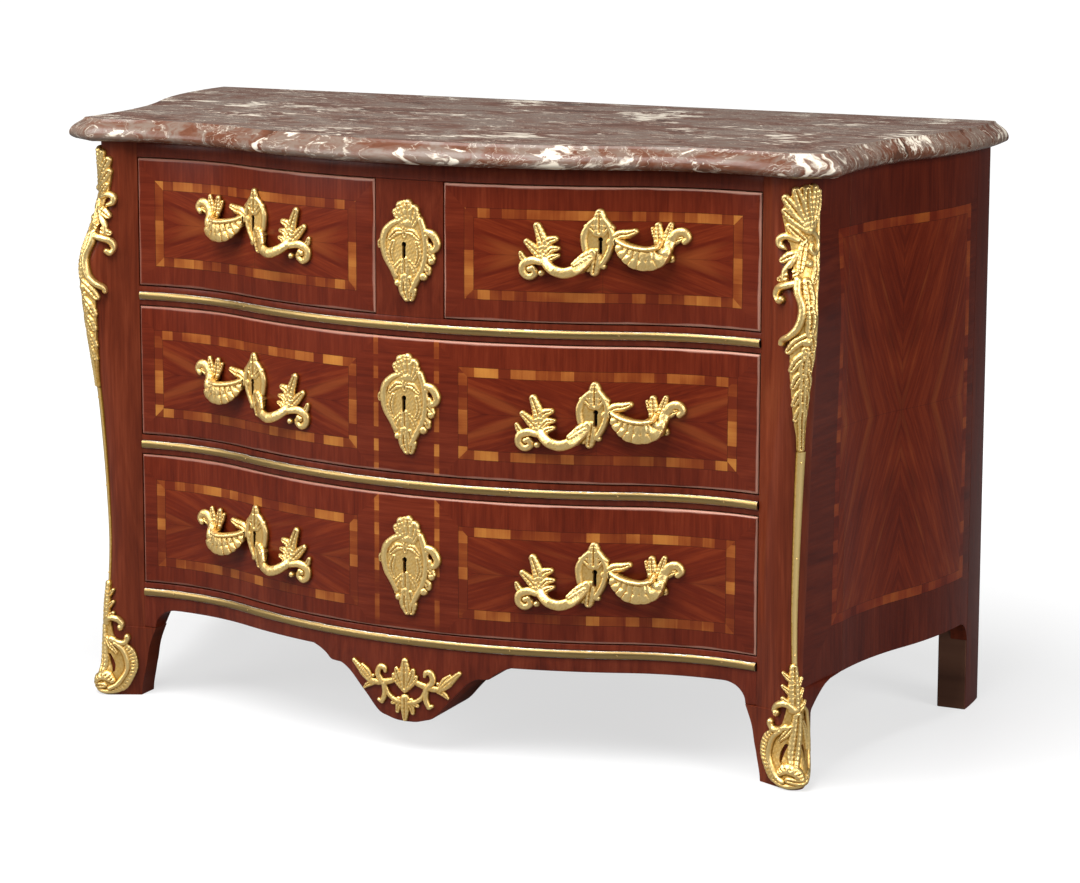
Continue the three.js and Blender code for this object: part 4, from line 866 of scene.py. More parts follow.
def cast(strokes, cuts=(), stand_off=0.0):
    """A cast relief drawn with strokes, with cuts through it: lines with their half widths.

    Gives a grid of quads with each corner's (across, up, face, back, polish) in millimetres.
    """
    drawn_lines = [(*stroke[:2], flowing(stroke[2], STROKE_STEP), *stroke[3:]) for stroke in strokes]
    reach = np.vstack([spots for _, _, (spots, _), _, _ in drawn_lines])
    margin = max(max(halves) for _, _, _, halves, _ in drawn_lines) + CAST_MARGIN
    low, high = reach.min(0) - margin, reach.max(0) + margin
    axes = [np.arange(low[k], high[k], CAST_STEP) for k in (0, 1)]
    u, v = np.meshgrid(*axes, indexing="ij")
    inside = np.full(u.shape, -float(CAST_MARGIN))
    face, back, nearest = np.zeros(u.shape), np.full(u.shape, 99.0), np.zeros(u.shape)

    def stroke_field(spots, half, window):
        gap = np.hypot(u[window][..., None] - spots[:, 0], v[window][..., None] - spots[:, 1])
        best = np.argmax(half - gap, axis=-1)
        pick = np.take_along_axis(gap, best[..., None], -1)[..., 0]
        return half[best] - pick, np.clip(pick / half[best], 0, 1), best

    def spread(shares, values):
        return np.interp(shares, np.linspace(0, 1, len(values)), values)

    for kind, height, (spots, shares), halves, lifts in drawn_lines:
        run = np.concatenate([[0], np.cumsum(np.hypot(*np.diff(spots, axis=0).T))])
        pitch = spread(shares, halves)
        phase = math.tau * run / max(3.5, 0.8 * float(np.mean(pitch)))
        lobes = (0.14 if kind in ("leaf", "shell") else 0) * (1 - np.abs(np.cos(phase / 2)))
        half = pitch * (1 - lobes)
        lift = spread(shares, lifts) * stand_off
        edge = max(halves) + CAST_MARGIN
        window = tuple(
            slice(*np.searchsorted(axes[k], (spots[:, k].min() - edge, spots[:, k].max() + edge)))
            for k in (0, 1)
        )
        depth, across, best = stroke_field(spots, half, window)
        swell = 0.75 + 0.25 * np.minimum(1, half[best] / max(halves))
        top = lift[best] + CAST_EDGE + (height - CAST_EDGE) * swell * crest(kind, across, phase[best])
        first, within = depth > inside[window], depth > 0
        nearest[window] = np.where(first, top, nearest[window])
        face[window] = np.where(within, np.maximum(face[window], top), face[window])
        back[window] = np.where(within | first, np.minimum(back[window], lift[best]), back[window])
        inside[window] = np.maximum(inside[window], depth)
    face = np.where(inside > 0, face, nearest)
    for line, halves in cuts:
        spots, shares = flowing(line, STROKE_STEP)
        depth, _, _ = stroke_field(spots, spread(shares, halves), slice(None))
        inside = np.minimum(inside, -depth)
    ripple = sum(np.sin(u * a + v * b + a * b) for a, b in ((0.9, 0.5), (-0.6, 1.1), (1.5, -0.8)))
    face = face + CAST_RIPPLE * ripple
    soft = face.copy()
    for _ in range(CAST_BLUR):
        soft = (soft + sum(np.roll(soft, *way) for way in ((1, 0), (-1, 0), (1, 1), (-1, 1)))) / 5
    shine = np.clip(0.5 + 0.55 * (face - soft) + 0.06 * (face - back - 3), 0, 1)
    slope = np.stack(np.gradient(inside, CAST_STEP))
    steep = np.maximum((slope**2).sum(0), 0.25)
    solid = inside > 0
    cells = solid[:-1, :-1] | solid[1:, :-1] | solid[:-1, 1:] | solid[1:, 1:]
    drawn_in = np.where(solid, 0, inside) / steep
    return cells, u - slope[0] * drawn_in, v - slope[1] * drawn_in, face, back, shine


def mount(name, relief, place, hand):
    """Turns a cast relief into a closed gilt mesh on the wood, with its polish kept at each point."""
    cells, u, v, face, back, shine = relief
    used = np.zeros(u.shape, bool)
    for a in (0, 1):
        for b in (0, 1):
            used[a : used.shape[0] - 1 + a, b : used.shape[1] - 1 + b] |= cells
    index = np.full(u.shape, -1)
    index[used] = np.arange(used.sum())
    count = int(used.sum())
    tops, backs = (
        np.stack(place(u[used] / 1000, v[used] / 1000, (CAST_SEAT + out[used]) / 1000), -1)
        for out in (face, back)
    )
    i, j = np.nonzero(cells)
    quads = np.stack([index[i, j], index[i + 1, j], index[i + 1, j + 1], index[i, j + 1]], -1)
    walls = []
    padded = np.pad(cells, 1)
    for (di, dj), (a, b) in {(0, -1): (0, 1), (1, 0): (1, 2), (0, 1): (2, 3), (-1, 0): (3, 0)}.items():
        rim = quads[~padded[i + 1 + di, j + 1 + dj]]
        walls.append(np.stack([rim[:, b], rim[:, a], rim[:, a] + count, rim[:, b] + count], -1))
    faces = np.vstack([quads, quads[:, ::-1] + count, *walls])
    if hand < 0:
        faces = faces[:, ::-1]
    mesh = bpy.data.meshes.new(name)
    mesh.from_pydata(np.vstack([tops, backs]).tolist(), [], faces.tolist())
    wear = np.concatenate([shine[used], np.full(count, 0.2)]).astype(np.float32)
    mesh.attributes.new("polish", "FLOAT", "POINT").data.foreach_set("value", wear)
    return shown(name, mesh, 55, [gilt])


gilt, add, shader, place = new_finish("fire_gilt_bronze")
stipple = add("TexNoise", {"Vector": place, "Scale": 1 / STIPPLE, "Detail": 2, "Roughness": 0.5})
patches = add("TexNoise", {"Vector": place, "Scale": 190, "Detail": 2})
tone = add("Attribute", attribute_name="polish").outputs["Fac"]
for noise, weight, shift in ((patches, 0.5, -0.25), (stipple, 0.35, -0.18)):
    weighed = add("Math", {0: noise, 1: weight, 2: shift}, operation="MULTIPLY_ADD")
    tone = add("Math", {0: weighed, 1: tone}, operation="ADD")
feed(shader, {
    "Base Color": add("ValToRGB", {0: tone}, stops=list(zip(GILT_PLACES, GILT_TONES))),
    "Roughness": add("MapRange", {0: tone, 1: 0.2, 2: 0.85, 3: 0.62, 4: 0.42}),
    "Normal": add("Bump", {"Strength": 0.35, "Distance": 0.0003, "Height": stipple}),
    "Metallic": 1,
})

pull_strokes = drawn("""
    field 4.6: -2.5 33.5, -4.5 14.5, -4.5 -5.5, -7.5 -25.5: 6 15 17 9
    rod 7: -4.5 35.5, -14.5 25.5, -21 11.5, -20 -5.5, -16.5 -17.5, -13.5 -31.5: 4 4.6 5.4 5 4.6 4
    rod 7: 2.5 35.5, 10.5 23.5, 14.5 11.5, 12.5 -4.5, 7.5 -17.5, 0.5 -29.5: 4 4.4 4.6 4.4 4.2 4
    leaf 8: -1.5 16, -1.5 29, -1.5 42: 8.3 10.4 6.4
    leaf 7: -5.5 14.5, -12.5 22.5, -18.5 23.5: 5.7 6.2 3.9
    leaf 7: 2.5 14.5, 8.5 22.5, 14.5 21.5: 5.7 6.2 3.9
    leaf 7.5: -4.5 -12, -6.5 -25, -8.5 -39: 7.3 9.4 5.8
    bead 6.5: -16 -34.5: 4.4
    bead 6: 3 -30.5: 4.2
    rod 6.8: -12 -15, -19.5 -26, -27 -34, -40 -38, -54.5 -34.5,
        -65.5 -27.5, -73 -19: 7 7.2 7.4 7.4 7 6.6 6: 0.1 0.45 0.85 1 0.95 0.6 0.2
    leaf 6.6: -10 -12, -18.5 -18, -28 -26: 6.2 6.8 4.2: 0.1 0.4 0.85
    leaf 7: -71 -24.5, -74 -1, -82.5 23: 7.3 8.7 5.4: 0.3 0.1 0.05
    leaf 6.6: -74 -21, -85.5 -9, -96.5 1: 6.7 7.3 4.5: 0.2 0.05 0.05
    leaf 6.6: -72 -16, -68 1, -58 6: 6.2 7.3 4.5: 0.2 0.1 0.1
    leaf 6.2: -71.5 -20.5, -63 -9, -54.5 -7: 5.2 5.6 3.5: 0.3 0.2 0.15
    leaf 6.2: -67.5 -26, -61.5 -19.5, -53.5 -16.5: 5.2 5.2 3.2: 0.5 0.3 0.25
    rod 7: -74 -25.5, -88 -24, -100.5 -29.5, -101.5 -40.5, -93.5 -46.5,
        -85.5 -41.5, -88.5 -34: 5 6 6 5.6 5 4.6 4.2: 0.3 0.1 0 0 0 0 0.05
    leaf 6: -95 -27.5, -102 -21.5, -105 -14.5: 5.2 4.8 3.2
    bead 7.5: -92.5 -36: 4.6
    bead 6.5: -75 -40.5: 4.2: 0.3
    leaf 7: 12.5 2.5, 24 12, 34.5 14, 44 17.5: 6.2 7.3 6.7 4.5: 0 0.1 0.15 0.2
    shell 7.5: 21 4, 33 -8, 48.5 -17, 63.5 -19.5, 76.5 -17,
        83 -7, 84 3: 7 11 14 14.5 13 10 6: 0.05 0.4 0.8 1 0.9 0.5 0.15
    rod 9: 21.5 5, 34.5 0, 50 -3, 66 -4, 77 -1.5, 79.5 5: 3.4 3.6 3.6 3.6 3.4 3: 0.05 0.4 0.8 1 0.9 0.4
    leaf 7: 77.5 -11.5, 74.5 7, 72.5 26: 6.8 7.7 4.8: 0.6 0.15 0.05
    leaf 6: 72.5 5, 68.5 14.5, 65 21.5: 4.8 4.8 3: 0.15 0.05 0
    leaf 6.5: 82 -2.5, 85.5 15, 89 27.5: 6.2 6.2 3.9: 0.3 0.05 0
    rod 7: 86 -8, 89 7, 97.5 16.5, 106.5 17.5,
        111.5 10.5, 107.5 5: 7.5 7.5 6.6 6 5.2 4.4: 0.4 0.1 0 0 0 0.05
    leaf 6: 88 0.5, 97 6.5, 104 9.5: 5.2 5.2 3.2
    leaf 6.5: 83.5 -10.5, 88 -16, 91 -20: 6.2 6.2 4.2: 0.4 0.2 0.1
""")
pull_cuts = [
    ([(0, 6)], [3.4]), ([(0, 4), (0, -12)], [2.4, 2.4]),
    ([(19, 8), (19.5, -4), (15, -17)], [0.6, 1.5, 0.6]),
]
pull_cast = cast(pull_strokes, pull_cuts, PULL_STAND_OFF)


def on_front(middle_x, middle_z, hand=1, sink=0.0):
    """A place on the drawer fronts, around a middle."""
    def place(u, v, out):
        x = middle_x + hand * u
        return x, front_y(x, out - sink), middle_z + v
    return place


# A keyhole cut through the wood shows behind each plate, unlit inside; a thin dark sheet on the wood is painted
# shade in its place.
EYE_RADIUS, EYE_UP, SLOT_HALF, SLOT_DROP = 0.0042, 0.006, 0.003, 0.012
KEYHOLE_LAYER = (0.0001, 0.0004)
keyhole_shade, add, shader, place = new_finish("painted_keyhole_shade")
shade_mottle = add("TexNoise", {"Vector": place, "Scale": 900})
colour = add("ValToRGB", {0: shade_mottle}, stops=[(0.3, "060302"), (0.7, "120906")])
feed(shader, {"Base Color": colour, "Roughness": 0.9, "Specular IOR Level": 0.05})


def keyhole(name, place, body):
    """A thin dark sheet on the wood, painted shade for the unlit keyhole: a round eye over a slot."""
    turns = np.radians(np.linspace(-50, 230, 19))
    outline = [(EYE_RADIUS * math.cos(a), EYE_UP + EYE_RADIUS * math.sin(a)) for a in turns]
    outline += [(-SLOT_HALF, -SLOT_DROP), (SLOT_HALF, -SLOT_DROP)]
    u, v = np.array(outline).T
    hole = loft(name, [np.stack(place(u, v, np.full(len(u), out)), -1) for out in KEYHOLE_LAYER], [keyhole_shade])
    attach(hole, body)


SHORT_PULL_X = (CENTRE_HALF + OPENING_HALF) / 2
SHORT_PULL_LIFT = 0.017
pulls = [("top_left_drawer", "pull", -1, -SHORT_PULL_X), ("top_right_drawer", "pull", 1, SHORT_PULL_X)]
for drawer in ("middle_drawer", "bottom_drawer"):
    pulls.append((drawer, "left_pull", -1, FITTINGS_X - SHORT_PULL_X))
    pulls.append((drawer, "right_pull", 1, FITTINGS_X + SHORT_PULL_X))
for drawer, which, hand, x in pulls:
    lift = SHORT_PULL_LIFT if which == "pull" else 0
    place = on_front(x, sum(heights(f"{drawer}_front")) / 2 + lift, hand)
    pull = mount(f"{drawer}_{which}_casting", pull_cast, place, hand)
    stands_for(pull, drawer, "gilt_bronze", f"{drawer}_{which}")
    keyhole(f"{drawer}_{which}_keyhole", place, drawer)

# Key plates: cast and gilded like the pulls, pinned over the locks of the long drawers.
# The one on the centre stile matches them.

MIDDLE_PLATE_LIFT = 0.006
plate_strokes = drawn("""
    field 5.2: 7 44, 3 24, 2 2, 2 -20, 3 -44, 6 -60: 15 24 31 27 16 8
    rod 7.4: -3 40, -18 34, -30 22, -33 6, -29 -11, -21 -25, -13 -38: 4 5 6 6.2 6 5.4 4.4
    rod 7.2: 24 41, 29 25, 32 7, 31 -11, 26 -28, 17 -44, 10 -58: 4.5 5 5.2 5.2 5.2 5 4
    field 6.4: 5 38, 2 50, 2 57: 14 16 10
    leaf 8: 4 36, -3 50, -7 59: 8 9 6.5
    leaf 8.4: 7 36, 6 52, 5 62: 8 10 7
    leaf 8: 10 36, 14 48, 15 56: 7 8.4 6.5
    leaf 7.4: 13 34, 18 42, 19 47: 6 6.6 5
    leaf 7.4: 0 36, -9 44, -14 50: 6.4 7 5.4
    bead 8.4: 5 36: 6.5
    leaf 7.6: -2 24, -12 23, -22 14: 5 7 4.5
    leaf 7.6: 4 24, 13 23, 22 15: 5 7 4.5
    leaf 7.4: 1 18, 1 26, 3 33: 5 6 4.5
    leaf 7: -17 8, -21 -6, -17 -20: 5.4 7 4.3
    leaf 7: 20 8, 23 -8, 18 -22: 5.4 7 4.3
    leaf 7.6: 1 -16, 1 -29, 2 -43: 8 10 6.2
    leaf 6.6: -5 -18, -13 -28, -15 -38: 5.4 7 4.3
    leaf 6.6: 8 -18, 16 -28, 19 -40: 5.4 7 4.3
    bead 7.6: -11 -48: 5.2
    bead 7.6: 28 -37: 6.2
    bead 7: 40 -15: 5.4
    bead 7: 33 19: 5
    leaf 6.6: 28 -20, 34 -26, 36 -32: 6 6 3.7
    rod 7: 31 25, 42 21, 48.5 10, 46 2, 40 0, 38 6: 5 6 5.4 5 4.6 4
    leaf 6.6: 34 -2, 39 -7, 43 -12: 6 6 3.7
    leaf 7.6: 0 -40, -1 -56, 3 -68: 9 9.4 5.8
    leaf 7: 8 -42, 11 -57, 10 -69: 7 7 4.3
    leaf 6.4: -33 12, -38 7, -39 1: 4.6 4.6 2.9
""")
plate_cuts = [([(0, 6)], [3.7]), ([(0, 3), (0, -11)], [2.6, 2.6])]
plate_cast = cast(plate_strokes, plate_cuts)
for body, node, front, lift, sink in (
    ("carcass", "centre_stile_key_plate", "top_right_drawer_front", 0, SINK),
    ("middle_drawer", "middle_drawer_key_plate", "middle_drawer_front", MIDDLE_PLATE_LIFT, 0),
    ("bottom_drawer", "bottom_drawer_key_plate", "bottom_drawer_front", 0, 0),
):
    place = on_front(FITTINGS_X, sum(heights(front)) / 2 + lift, 1, sink)
    plate = mount(f"{node}_casting", plate_cast, place, 1)
    stands_for(plate, body, "gilt_bronze", node)
    keyhole(f"{node}_keyhole", place, body)

# Apron mount: a palmette between leafy wings over a pendant.
# Cast bronze, chased and fire gilded like the pulls, and pinned to the tongue of the apron.

APRON_MOUNT_Z = 0.087
wing = drawn("""
    rod 5: 14 15, 24 11, 36 8, 49 7, 60 10, 72 21, 82 33: 4 4.5 5 4.6 4.2 4 1.8
    leaf 5.5: 54 7, 66 17, 83 33: 4.9 6.6 3.3
    leaf 5: 54 9, 61 20, 69 28: 4.1 5.4 2.7
    bead 5: 82 33: 2.6
    bead 4.5: 51 15: 2.6
    leaf 4.5: 52 5, 60 1, 66 -4: 4.4 4.1 2.2
    rod 5.5: 34 6, 43 18, 40 29, 33 29, 31 24: 4.6 4.8 4.4 4 2.6
    rod 5.5: 33 6, 32 -8, 37 -19, 42 -18: 4.8 4.4 3.8 2.6
    bead 5: 37 -20: 3.8
    rod 5: 30 0, 26 -8, 16 -15, 4 -17: 3 3.4 3.6 4
    rod 5.5: 14 12, 7 5, 0 -1: 2.6 2.6 2.8
    leaf 6: 4 6, 10 20, 13 30: 5.5 6.7 3.4
    leaf 5.5: 6 6, 14 15, 18 21: 4.9 5.6 2.8
    leaf 4.5: 3 -16, 10 -23, 12 -31: 4.9 4.9 3.2
    leaf 4.5: 10 -14, 16 -18, 20 -20: 4.3 4.3 2.9
""")
other_wing = [(kind, height, [(-u, v) for u, v in line], *rest) for kind, height, line, *rest in wing]
apron_strokes = wing + other_wing + drawn("""
    leaf 6.5: 0 4, 0 24, 0 42: 7.3 9.8 4.9
    leaf 6: 0 -12, 0 -26, 0 -41: 7.3 7.3 3.7
""")
apron_casting = mount("apron_casting", cast(apron_strokes), on_front(TONGUE_X, APRON_MOUNT_Z, 1, SINK), 1)
stands_for(apron_casting, "carcass", "gilt_bronze", "apron_mount")

# Corner mounts: a leafy chute on each shoulder, a thin fillet below it, and a sabot at the foot.
# Chute and sabot are cast bronze and the fillet is drawn, all fire gilded, made to the curve of
# the stile and pinned to it.

CHUTE_TOP, SABOT_FOOT = 0.820, 0.001
FILLET_WIDTH, FILLET_PROUD, FILLET_SEAT = 0.014, 0.004, 0.0015
FILLET_TAPER, FILLET_PINS = 0.58, 3
levels = np.linspace(0, FLOOR_TO_SLAB, 600)
sections = [corner_section(z) for z in levels]
nose_x, nose_y = np.array([s[0] for s in sections]).T
nose_radius, nose_from, nose_to = (np.array([s[k] for s in sections]) for k in (1, 2, 3))


def on_corner(middle_z, hand):
    """A place on a corner: round from its nose, up, and off the wood; past the nose it runs straight."""
    def place(u, v, out):
        z = middle_z + v
        radius = np.interp(z, levels, nose_radius)
        wished = u / radius - math.pi / 4
        turn = np.clip(wished, np.interp(z, levels, nose_from), np.interp(z, levels, nose_to))
        past = (wished - turn) * radius
        x = np.interp(z, levels, nose_x) + (radius + out) * np.cos(turn) - past * np.sin(turn)
        y = np.interp(z, levels, nose_y) + (radius + out) * np.sin(turn) + past * np.cos(turn)
        return hand * x, y, z
    return place


chute_strokes = drawn("""
    field 5: 8 -22, 5 -38, 6.5 -59, 7.5 -96, 2 -127, -1 -150, -1 -172, -3 -192, -7 -225,
        -8 -250, -7 -271, -6 -296, -5 -316, -3 -334,
        -2 -352: 20 28 26 21 16 12.5 11.5 12.5 15 13 11.5 9.5 7.5 5.5 5
    leaf 9: 8 -62, -8 -48, -20 -36: 7 9 5.5
    leaf 9: 8 -60, -8 -36, -20 -19: 7 9.5 6
    leaf 9.5: 10 -60, -1 -30, -8 -9: 7 9.5 6
    leaf 9.5: 16 -58, 26 -32, 27 -12: 6 8.5 5.5
    leaf 10: 12 -60, 6 -28, 5 -8: 7 9.5 6.5
    leaf 10: 14 -60, 18 -28, 18 -7: 7 9.5 6.5
    leaf 8.5: 2 -74, -8 -64, -15 -56: 6 7.5 5
    bead 10.5: 10 -62: 7
    rod 8.5: -6 -74, -18 -69, -27 -73, -27 -81, -20 -84: 4.4 4.8 4.8 4.6 3.6
    leaf 8.5: -6 -92, -16 -95, -26 -101: 6.5 7 4.5
    rod 8: -8 -92, -16 -104, -24 -114, -27 -124: 4.4 4.4 4.2 3.8
    leaf 8: -12 -116, -24 -122, -34 -126: 5.5 6.5 4
    rod 9: -10 -128, -24 -132, -38 -137, -46 -146, -43 -154, -36 -151: 4.8 5 5 5 4.8 4
    rod 10.5: -10 -124, -12 -140, -9 -157, -10 -172, -15 -188,
        -24 -199, -34 -205, -36 -210: 5 5 5 5 5 5 4.8 4.4
    rod 9: 14 -64, 23 -72, 24 -85, 16 -93, 9 -87, 12 -80: 4.6 4.8 4.6 4.4 4 3.4
    leaf 8.5: 2 -80, -2 -96, -6 -112: 7 8.5 5
    leaf 9: 18 -94, 16 -112, 8 -128: 7 8 5
    bead 9.5: 6 -104: 6.5
    rod 7: 29 -16, 29.5 -58, 26 -96, 16 -127, 9 -150,
        7.5 -175, 6 -212, 5 -232: 3.4 3.6 3.6 3.6 3.4 3.4 3.2 3.2
    leaf 9.5: 0 -128, 1 -146, 0 -164: 7 9 6
    leaf 9.5: 0 -160, 1 -178, -1 -196: 7 9 6
    leaf 8.5: -3 -198, -15 -207, -24 -219: 7 8 5.5
    leaf 8.5: 0 -194, 4 -206, 4 -218: 5 6 4
    bead 10: -3 -206: 7
    leaf 8.5: -4 -222, -13 -232, -19 -244: 7 8 5
    leaf 8: -2 -220, 2 -232, 2 -244: 5 5.5 3.6
    leaf 8: -5 -246, -12 -256, -16 -267: 6.5 7.4 4.8
    leaf 8: -3 -244, 1 -256, 1.5 -267: 5 5.2 3.4
    leaf 7.5: -5 -270, -10 -280, -14 -291: 6 6.6 4.4
    leaf 7.5: -3 -268, 0 -280, 0.5 -290: 4.6 4.8 3.2
    leaf 7: -4 -292, -8 -302, -11 -312: 5.4 5.8 3.8
    leaf 7: -3 -292, -1 -302, -0.5 -312: 4.4 4.4 3
    leaf 8.5: -4 -216, -6 -240, -5 -262: 6 7 4.6
    leaf 8.5: -5 -252, -5 -276, -4 -298: 5.6 6.4 4.2
    leaf 8: -4 -290, -4 -310, -3 -330, -2 -352: 5 5.6 4.4 4
""")
chute_cuts = [
    ([(-18, -79), (-16, -86)], [3.4, 2.6]), ([(-18, -113), (-18, -120), (-20, -125)], [2.8, 3, 1.8]),
]
sabot_strokes = drawn("""
    field 4: -2 160, -1 130, 1 104, 0 80, -4 58, -8 38, -12 16: 5.5 9 13 18 30 35 13
    leaf 7.5: -2 110, -2 138, -2 166: 8.6 8.1 5.4
    leaf 6.5: -3 145, -9 152, -15 159: 3.9 3.9 2.4
    leaf 6.5: -3 127, -9 134, -16 141: 4.3 4.3 2.7
    leaf 6.5: -3 111, -9 117, -16 124: 4.8 4.8 2.9
    leaf 6.5: 0 136, 4 144, 8 151: 3.7 3.7 2.3
    leaf 6.5: 1 120, 5 128, 9 136: 3.9 4.1 2.5
    leaf 6.5: 2 106, 8 112, 14 118: 4.3 5 3.1
    rod 8: -2 108, -11 116, -21 115, -28 108, -26 101: 4.5 4.8 4.8 4.6 4.2
    bead 8.5: -26 103: 5
    rod 6.5: 10 112, 20 102, 25 88, 28 70, 29 46, 24 24, 11 9: 3 3.6 3.8 4.2 4.8 5 4.5
    rod 7.5: -12 84, -22 79, -32 79, -37 86: 4.5 4.8 4.8 4.4
    bead 8: -36 88: 4.8
    shell 6: -30 76, -42 64, -48 46, -49 28, -41 14, -26 7: 5 7 7 7 7 5
    rod 9: -18 78, -30 68, -38 50, -40 32, -33 18, -20 10: 4 4.6 4.8 4.8 4.6 4
    leaf 8.5: 2 100, 0 74, -3 48, -6 26: 6.5 8.6 8.6 5.4
    leaf 8: 8 90, 16 72, 19 52: 4.3 6.5 4
    leaf 7.5: -6 84, -12 74, -20 64: 4.3 5 3.1
    shell 9.5: -24 22, -14 29, -4 26, 2 15: 5 7 7 4.5
    leaf 8: -12 14, 4 12, 18 22: 5.4 7.6 4.7
    rod 6: -40 10, -26 5, -6 4.5, 10 8: 3.6 3.8 3.8 3.4
""")
sabot_cuts = [
    ([(-11, 60), (-17, 47), (-21, 36)], [2, 2.8, 1.8]), ([(8, 58), (11, 48), (12, 39)], [1.6, 2.2, 1.4]),
    ([(13, 103), (14, 90)], [1.8, 2]),
]
chute_cast, sabot_cast = cast(chute_strokes, chute_cuts), cast(sabot_strokes, sabot_cuts)
for side, hand in HANDS:
    chute = mount(f"{side}_chute_casting", chute_cast, on_corner(CHUTE_TOP, hand), hand)
    stands_for(chute, "carcass", "gilt_bronze", f"{side}_chute")
    sabot = mount(f"{side}_sabot_casting", sabot_cast, on_corner(SABOT_FOOT, hand), hand)
    stands_for(sabot, "carcass", "gilt_bronze", f"{side}_sabot")
    rise = np.linspace(*heights("right_corner_fillet"), 90)
    path, ahead = (np.array([on_corner(z, hand)(0, 0, out) for z in rise]) for out in (0, 1))
    fillet = drawn_strip(f"{side}_fillet", path, ahead - path, np.linspace(FILLET_TAPER, 1, len(path)), {
        "Half Width": FILLET_WIDTH / 2, "Rise": FILLET_PROUD, "Seat": FILLET_SEAT,
        "Pins": FILLET_PINS, "Pin Radius": PIN_RADIUS, "Metal": gilt,
    })
    stands_for(fillet, "carcass", "brass", f"{side}_corner_fillet")

# Marble slab: red-brown marble mottled with grey and cream, sawn, moulded on three sides and
# polished. The moulding runs out in an ogee over a rounded nose, and the back edge is left flat.

MARBLE_DARK, MARBLE_RED, MARBLE_GREY, MARBLE_CREAM = "35251c", "633c2b", "75655a", "ddd2c0"
MARBLE_PATCH, MARBLE_CLAST, MARBLE_VEIN = 0.085, 0.034, 0.08
MARBLE_BED, MARBLE_LEAN = (0.5, 1.5, 0.75), 38
MARBLE_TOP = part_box("marble_top")[1].z
SLAB_THICKNESS, OVERHANG, MOULDING = 0.031, 0.026, 0.021
CANT_FRONT, CANT_SIDE = 0.022, 0.005
MOULDING_SHARES = [
    (0.4, 0), (0.08, 0.12), (0, 0.3), (0.14, 0.52), (0.43, 0.7), (0.82, 0.87), (1, 1),
]

marble, add, shader, place = new_finish("polished_red_marble")
leaning = add("VectorRotate", {
    "Vector": place, "Angle": math.radians(MARBLE_LEAN),
}, rotation_type="X_AXIS")
bedded = add("VectorMath", {0: leaning, 1: MARBLE_BED}, operation="MULTIPLY")
warp = add("TexNoise", {"Vector": bedded, "Scale": 1 / MARBLE_PATCH, "Detail": 4, "Roughness": 0.6})
warped = add("VectorMath", {
    0: warp.outputs["Color"], 1: (0.09, 0.09, 0.09), 2: bedded,
}, operation="MULTIPLY_ADD")
ground, flecks, veins = (
    add("TexNoise", {
        "Vector": warped, "Scale": 1 / size, "Detail": detail, "Roughness": rough, "Distortion": bend,
    })
    for size, detail, rough, bend in (
        (MARBLE_PATCH, 8, 0.66, 0.6), (MARBLE_CLAST, 7, 0.62, 1.4), (MARBLE_VEIN, 6, 0.6, 2.2),
    )
)
ground_colour = add("ValToRGB", {0: ground}, stops=[
    (0.3, MARBLE_DARK), (0.45, MARBLE_RED), (0.54, MARBLE_GREY),
    (0.62, MARBLE_RED), (0.72, MARBLE_DARK),
])
fleck_places = add("TexNoise", {"Vector": place, "Scale": 0.7 / MARBLE_PATCH, "Detail": 2})
fleck_level = add("Math", {0: fleck_places, 1: 0.6, 2: flecks}, operation="MULTIPLY_ADD")
height = add("SeparateXYZ", {0: place}).outputs[2]
on_edge = add("MapRange", {0: height, 1: MARBLE_TOP - 0.004, 2: MARBLE_TOP - 0.001, 3: 0.018, 4: 0})
fleck_level = add("Math", {0: fleck_level, 1: on_edge}, operation="ADD")
fleck = add("MapRange", {0: fleck_level, 1: 0.89, 2: 0.97, 3: 0, 4: 0.95})
off_vein = add("Math", {0: veins, 1: 0.5}, operation="SUBTRACT")
vein_gap = add("Math", {0: off_vein}, operation="ABSOLUTE")
vein = add("MapRange", {0: vein_gap, 1: 0, 2: 0.009, 3: 0.5, 4: 0})
colour = ground_colour
for share in (fleck, vein):
    colour = add("Mix", {0: share, 6: colour, 7: linear(MARBLE_CREAM)}, data_type="RGBA")
feed(shader, {"Base Color": colour, "Roughness": 0.25, "IOR": 1.5, "Specular IOR Level": 0.25})

cant_x, cant_y = HOLLOW_HALF - CANT_FRONT, STILE_FRONT - CANT_SIDE
slab_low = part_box("marble_top")[0].z
front_xs, side_ys = spread_x(-cant_x, cant_x, 0.006), np.linspace(cant_y, BACK_Y, 70)
slab_rings = []
profile, _ = flowing(MOULDING_SHARES, 0.045)
for inset_share, height_share in np.clip(profile, 0, 1):
    inset = inset_share * MOULDING
    out, mitre = OVERHANG - inset, inset * math.tan(math.pi / 8)
    xs = front_xs * (1 - mitre / cant_x)
    ys = side_ys + mitre * (BACK_Y - side_ys) / (BACK_Y - cant_y)
    sides = side_x(ys, out)
    outline = [*zip(xs, front_y(xs, out)), *zip(sides, ys), *zip(-sides[::-1], ys[::-1])]
    slab_rings.append([(x, y, slab_low + height_share * SLAB_THICKNESS) for x, y in outline])
slab = loft("marble_slab", slab_rings, [marble], crease=40)
stands_for(slab, "carcass", "marble", "marble_top")

# Studio: a plain pale floor that runs back into white, with broad soft light from above and
# from both sides, and the camera at the photograph's viewing angle.

FLOOR_TONE, FLOOR_GLOW, FLOOR_GLOW_AWAY, ROOM_LIGHT = "8c8c8c", 0.66, 1.0, 0.16
CAMERA_PLACE = (1.9709, -4.1372, 1.3166)
CAMERA_AZIMUTH, CAMERA_PITCH = 25.637, 9.102
PHOTO_WIDTH, FOCAL_PIXELS, SHIFT_PIXELS, SENSOR = 1080, 3194, (50, -130), 36

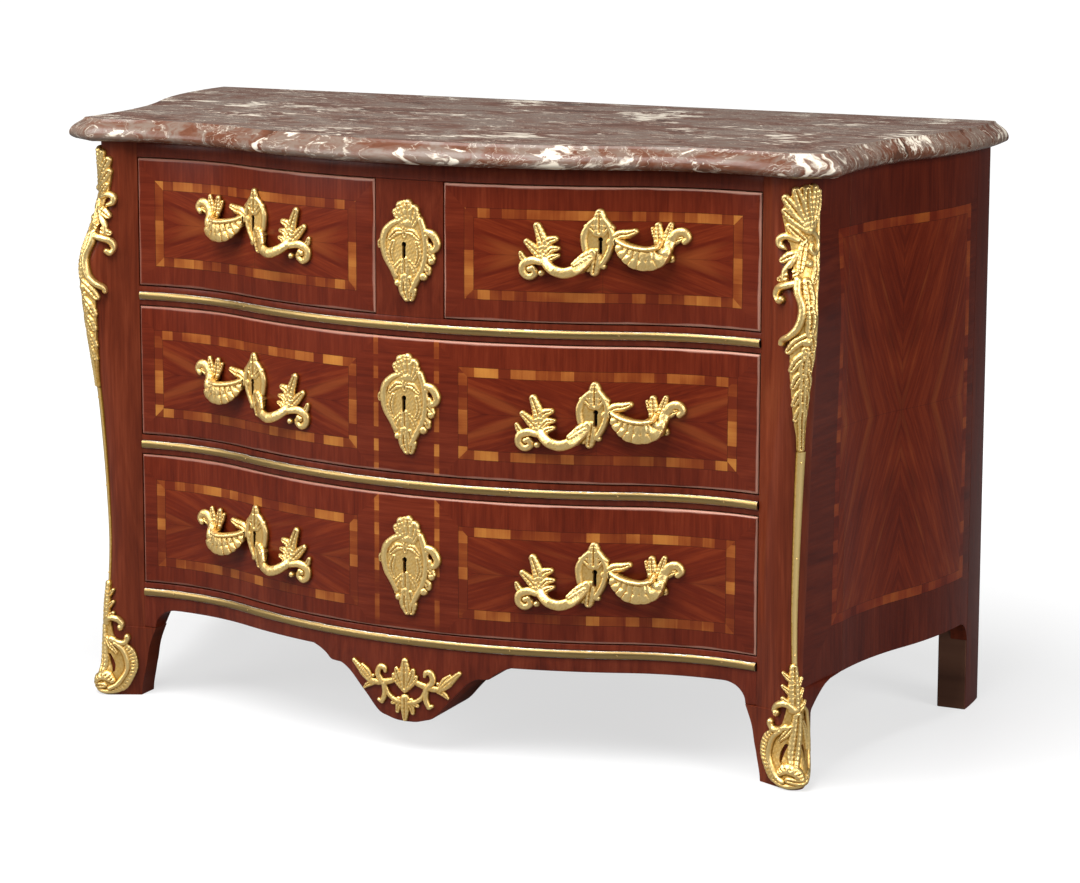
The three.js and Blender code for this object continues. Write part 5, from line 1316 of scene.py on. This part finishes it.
floor_mesh = bpy.data.meshes.new("studio_floor")
floor_mesh.from_pydata([(-30, -30, 0), (30, -30, 0), (30, 30, 0), (-30, 30, 0)], [], [(0, 1, 2, 3)])
floor = placed("studio_floor", floor_mesh)
floor_finish, add, shader, place = new_finish("pale_floor")
seen_straight = add("LightPath").outputs["Is Camera Ray"]
away = add("VectorMath", {0: place}, operation="LENGTH")
paler = add("MapRange", {0: away, 1: 0.7, 2: 1.7, 3: FLOOR_GLOW, 4: FLOOR_GLOW_AWAY})
feed(shader, {
    "Base Color": linear(FLOOR_TONE), "Roughness": 0.6, "Specular IOR Level": 0.2,
    "Emission Color": (1, 1, 1, 1),
    "Emission Strength": add("Math", {0: seen_straight, 1: paler}, operation="MULTIPLY"),
})
floor_mesh.materials.append(floor_finish)


def soft_light(name, place, target, size, power):
    data = bpy.data.lights.new(name, "AREA")
    data.shape, data.size, data.energy = "SQUARE", size, power
    lamp = placed(name, data)
    lamp.location = place
    lamp.rotation_euler = (Vector(target) - Vector(place)).to_track_quat("-Z", "Y").to_euler()


soft_light("overhead softbox", (-0.4, -1.6, 3.4), (0, 0, 0.4), 2.6, 205)
soft_light("left softbox", (-3.2, -3.0, 2.2), (0, 0, 0.4), 2.2, 90)
soft_light("right softbox", (3.8, -1.2, 2.0), (0.4, 0, 0.4), 1.8, 95)

world = bpy.data.worlds.new("white studio")
bpy.context.scene.world = world
world.use_nodes = True
add = partial(add_node, world.node_tree)
seen_straight = add("LightPath").outputs["Is Camera Ray"]
strength = add("MapRange", {0: seen_straight, 3: ROOM_LIGHT, 4: 1})
feed(world.node_tree.nodes["Background"], {"Color": (1, 1, 1, 1), "Strength": strength})

lens = bpy.data.cameras.new("photo view")
lens.sensor_width = SENSOR
lens.lens = FOCAL_PIXELS / PHOTO_WIDTH * SENSOR
lens.shift_x, lens.shift_y = (pixels / PHOTO_WIDTH for pixels in SHIFT_PIXELS)
camera = placed("photo view", lens)
camera.location = CAMERA_PLACE
camera.rotation_euler = (math.radians(90 - CAMERA_PITCH), 0, math.radians(CAMERA_AZIMUTH))
bpy.context.scene.camera = camera
bpy.context.scene.view_settings.view_transform = "Standard"
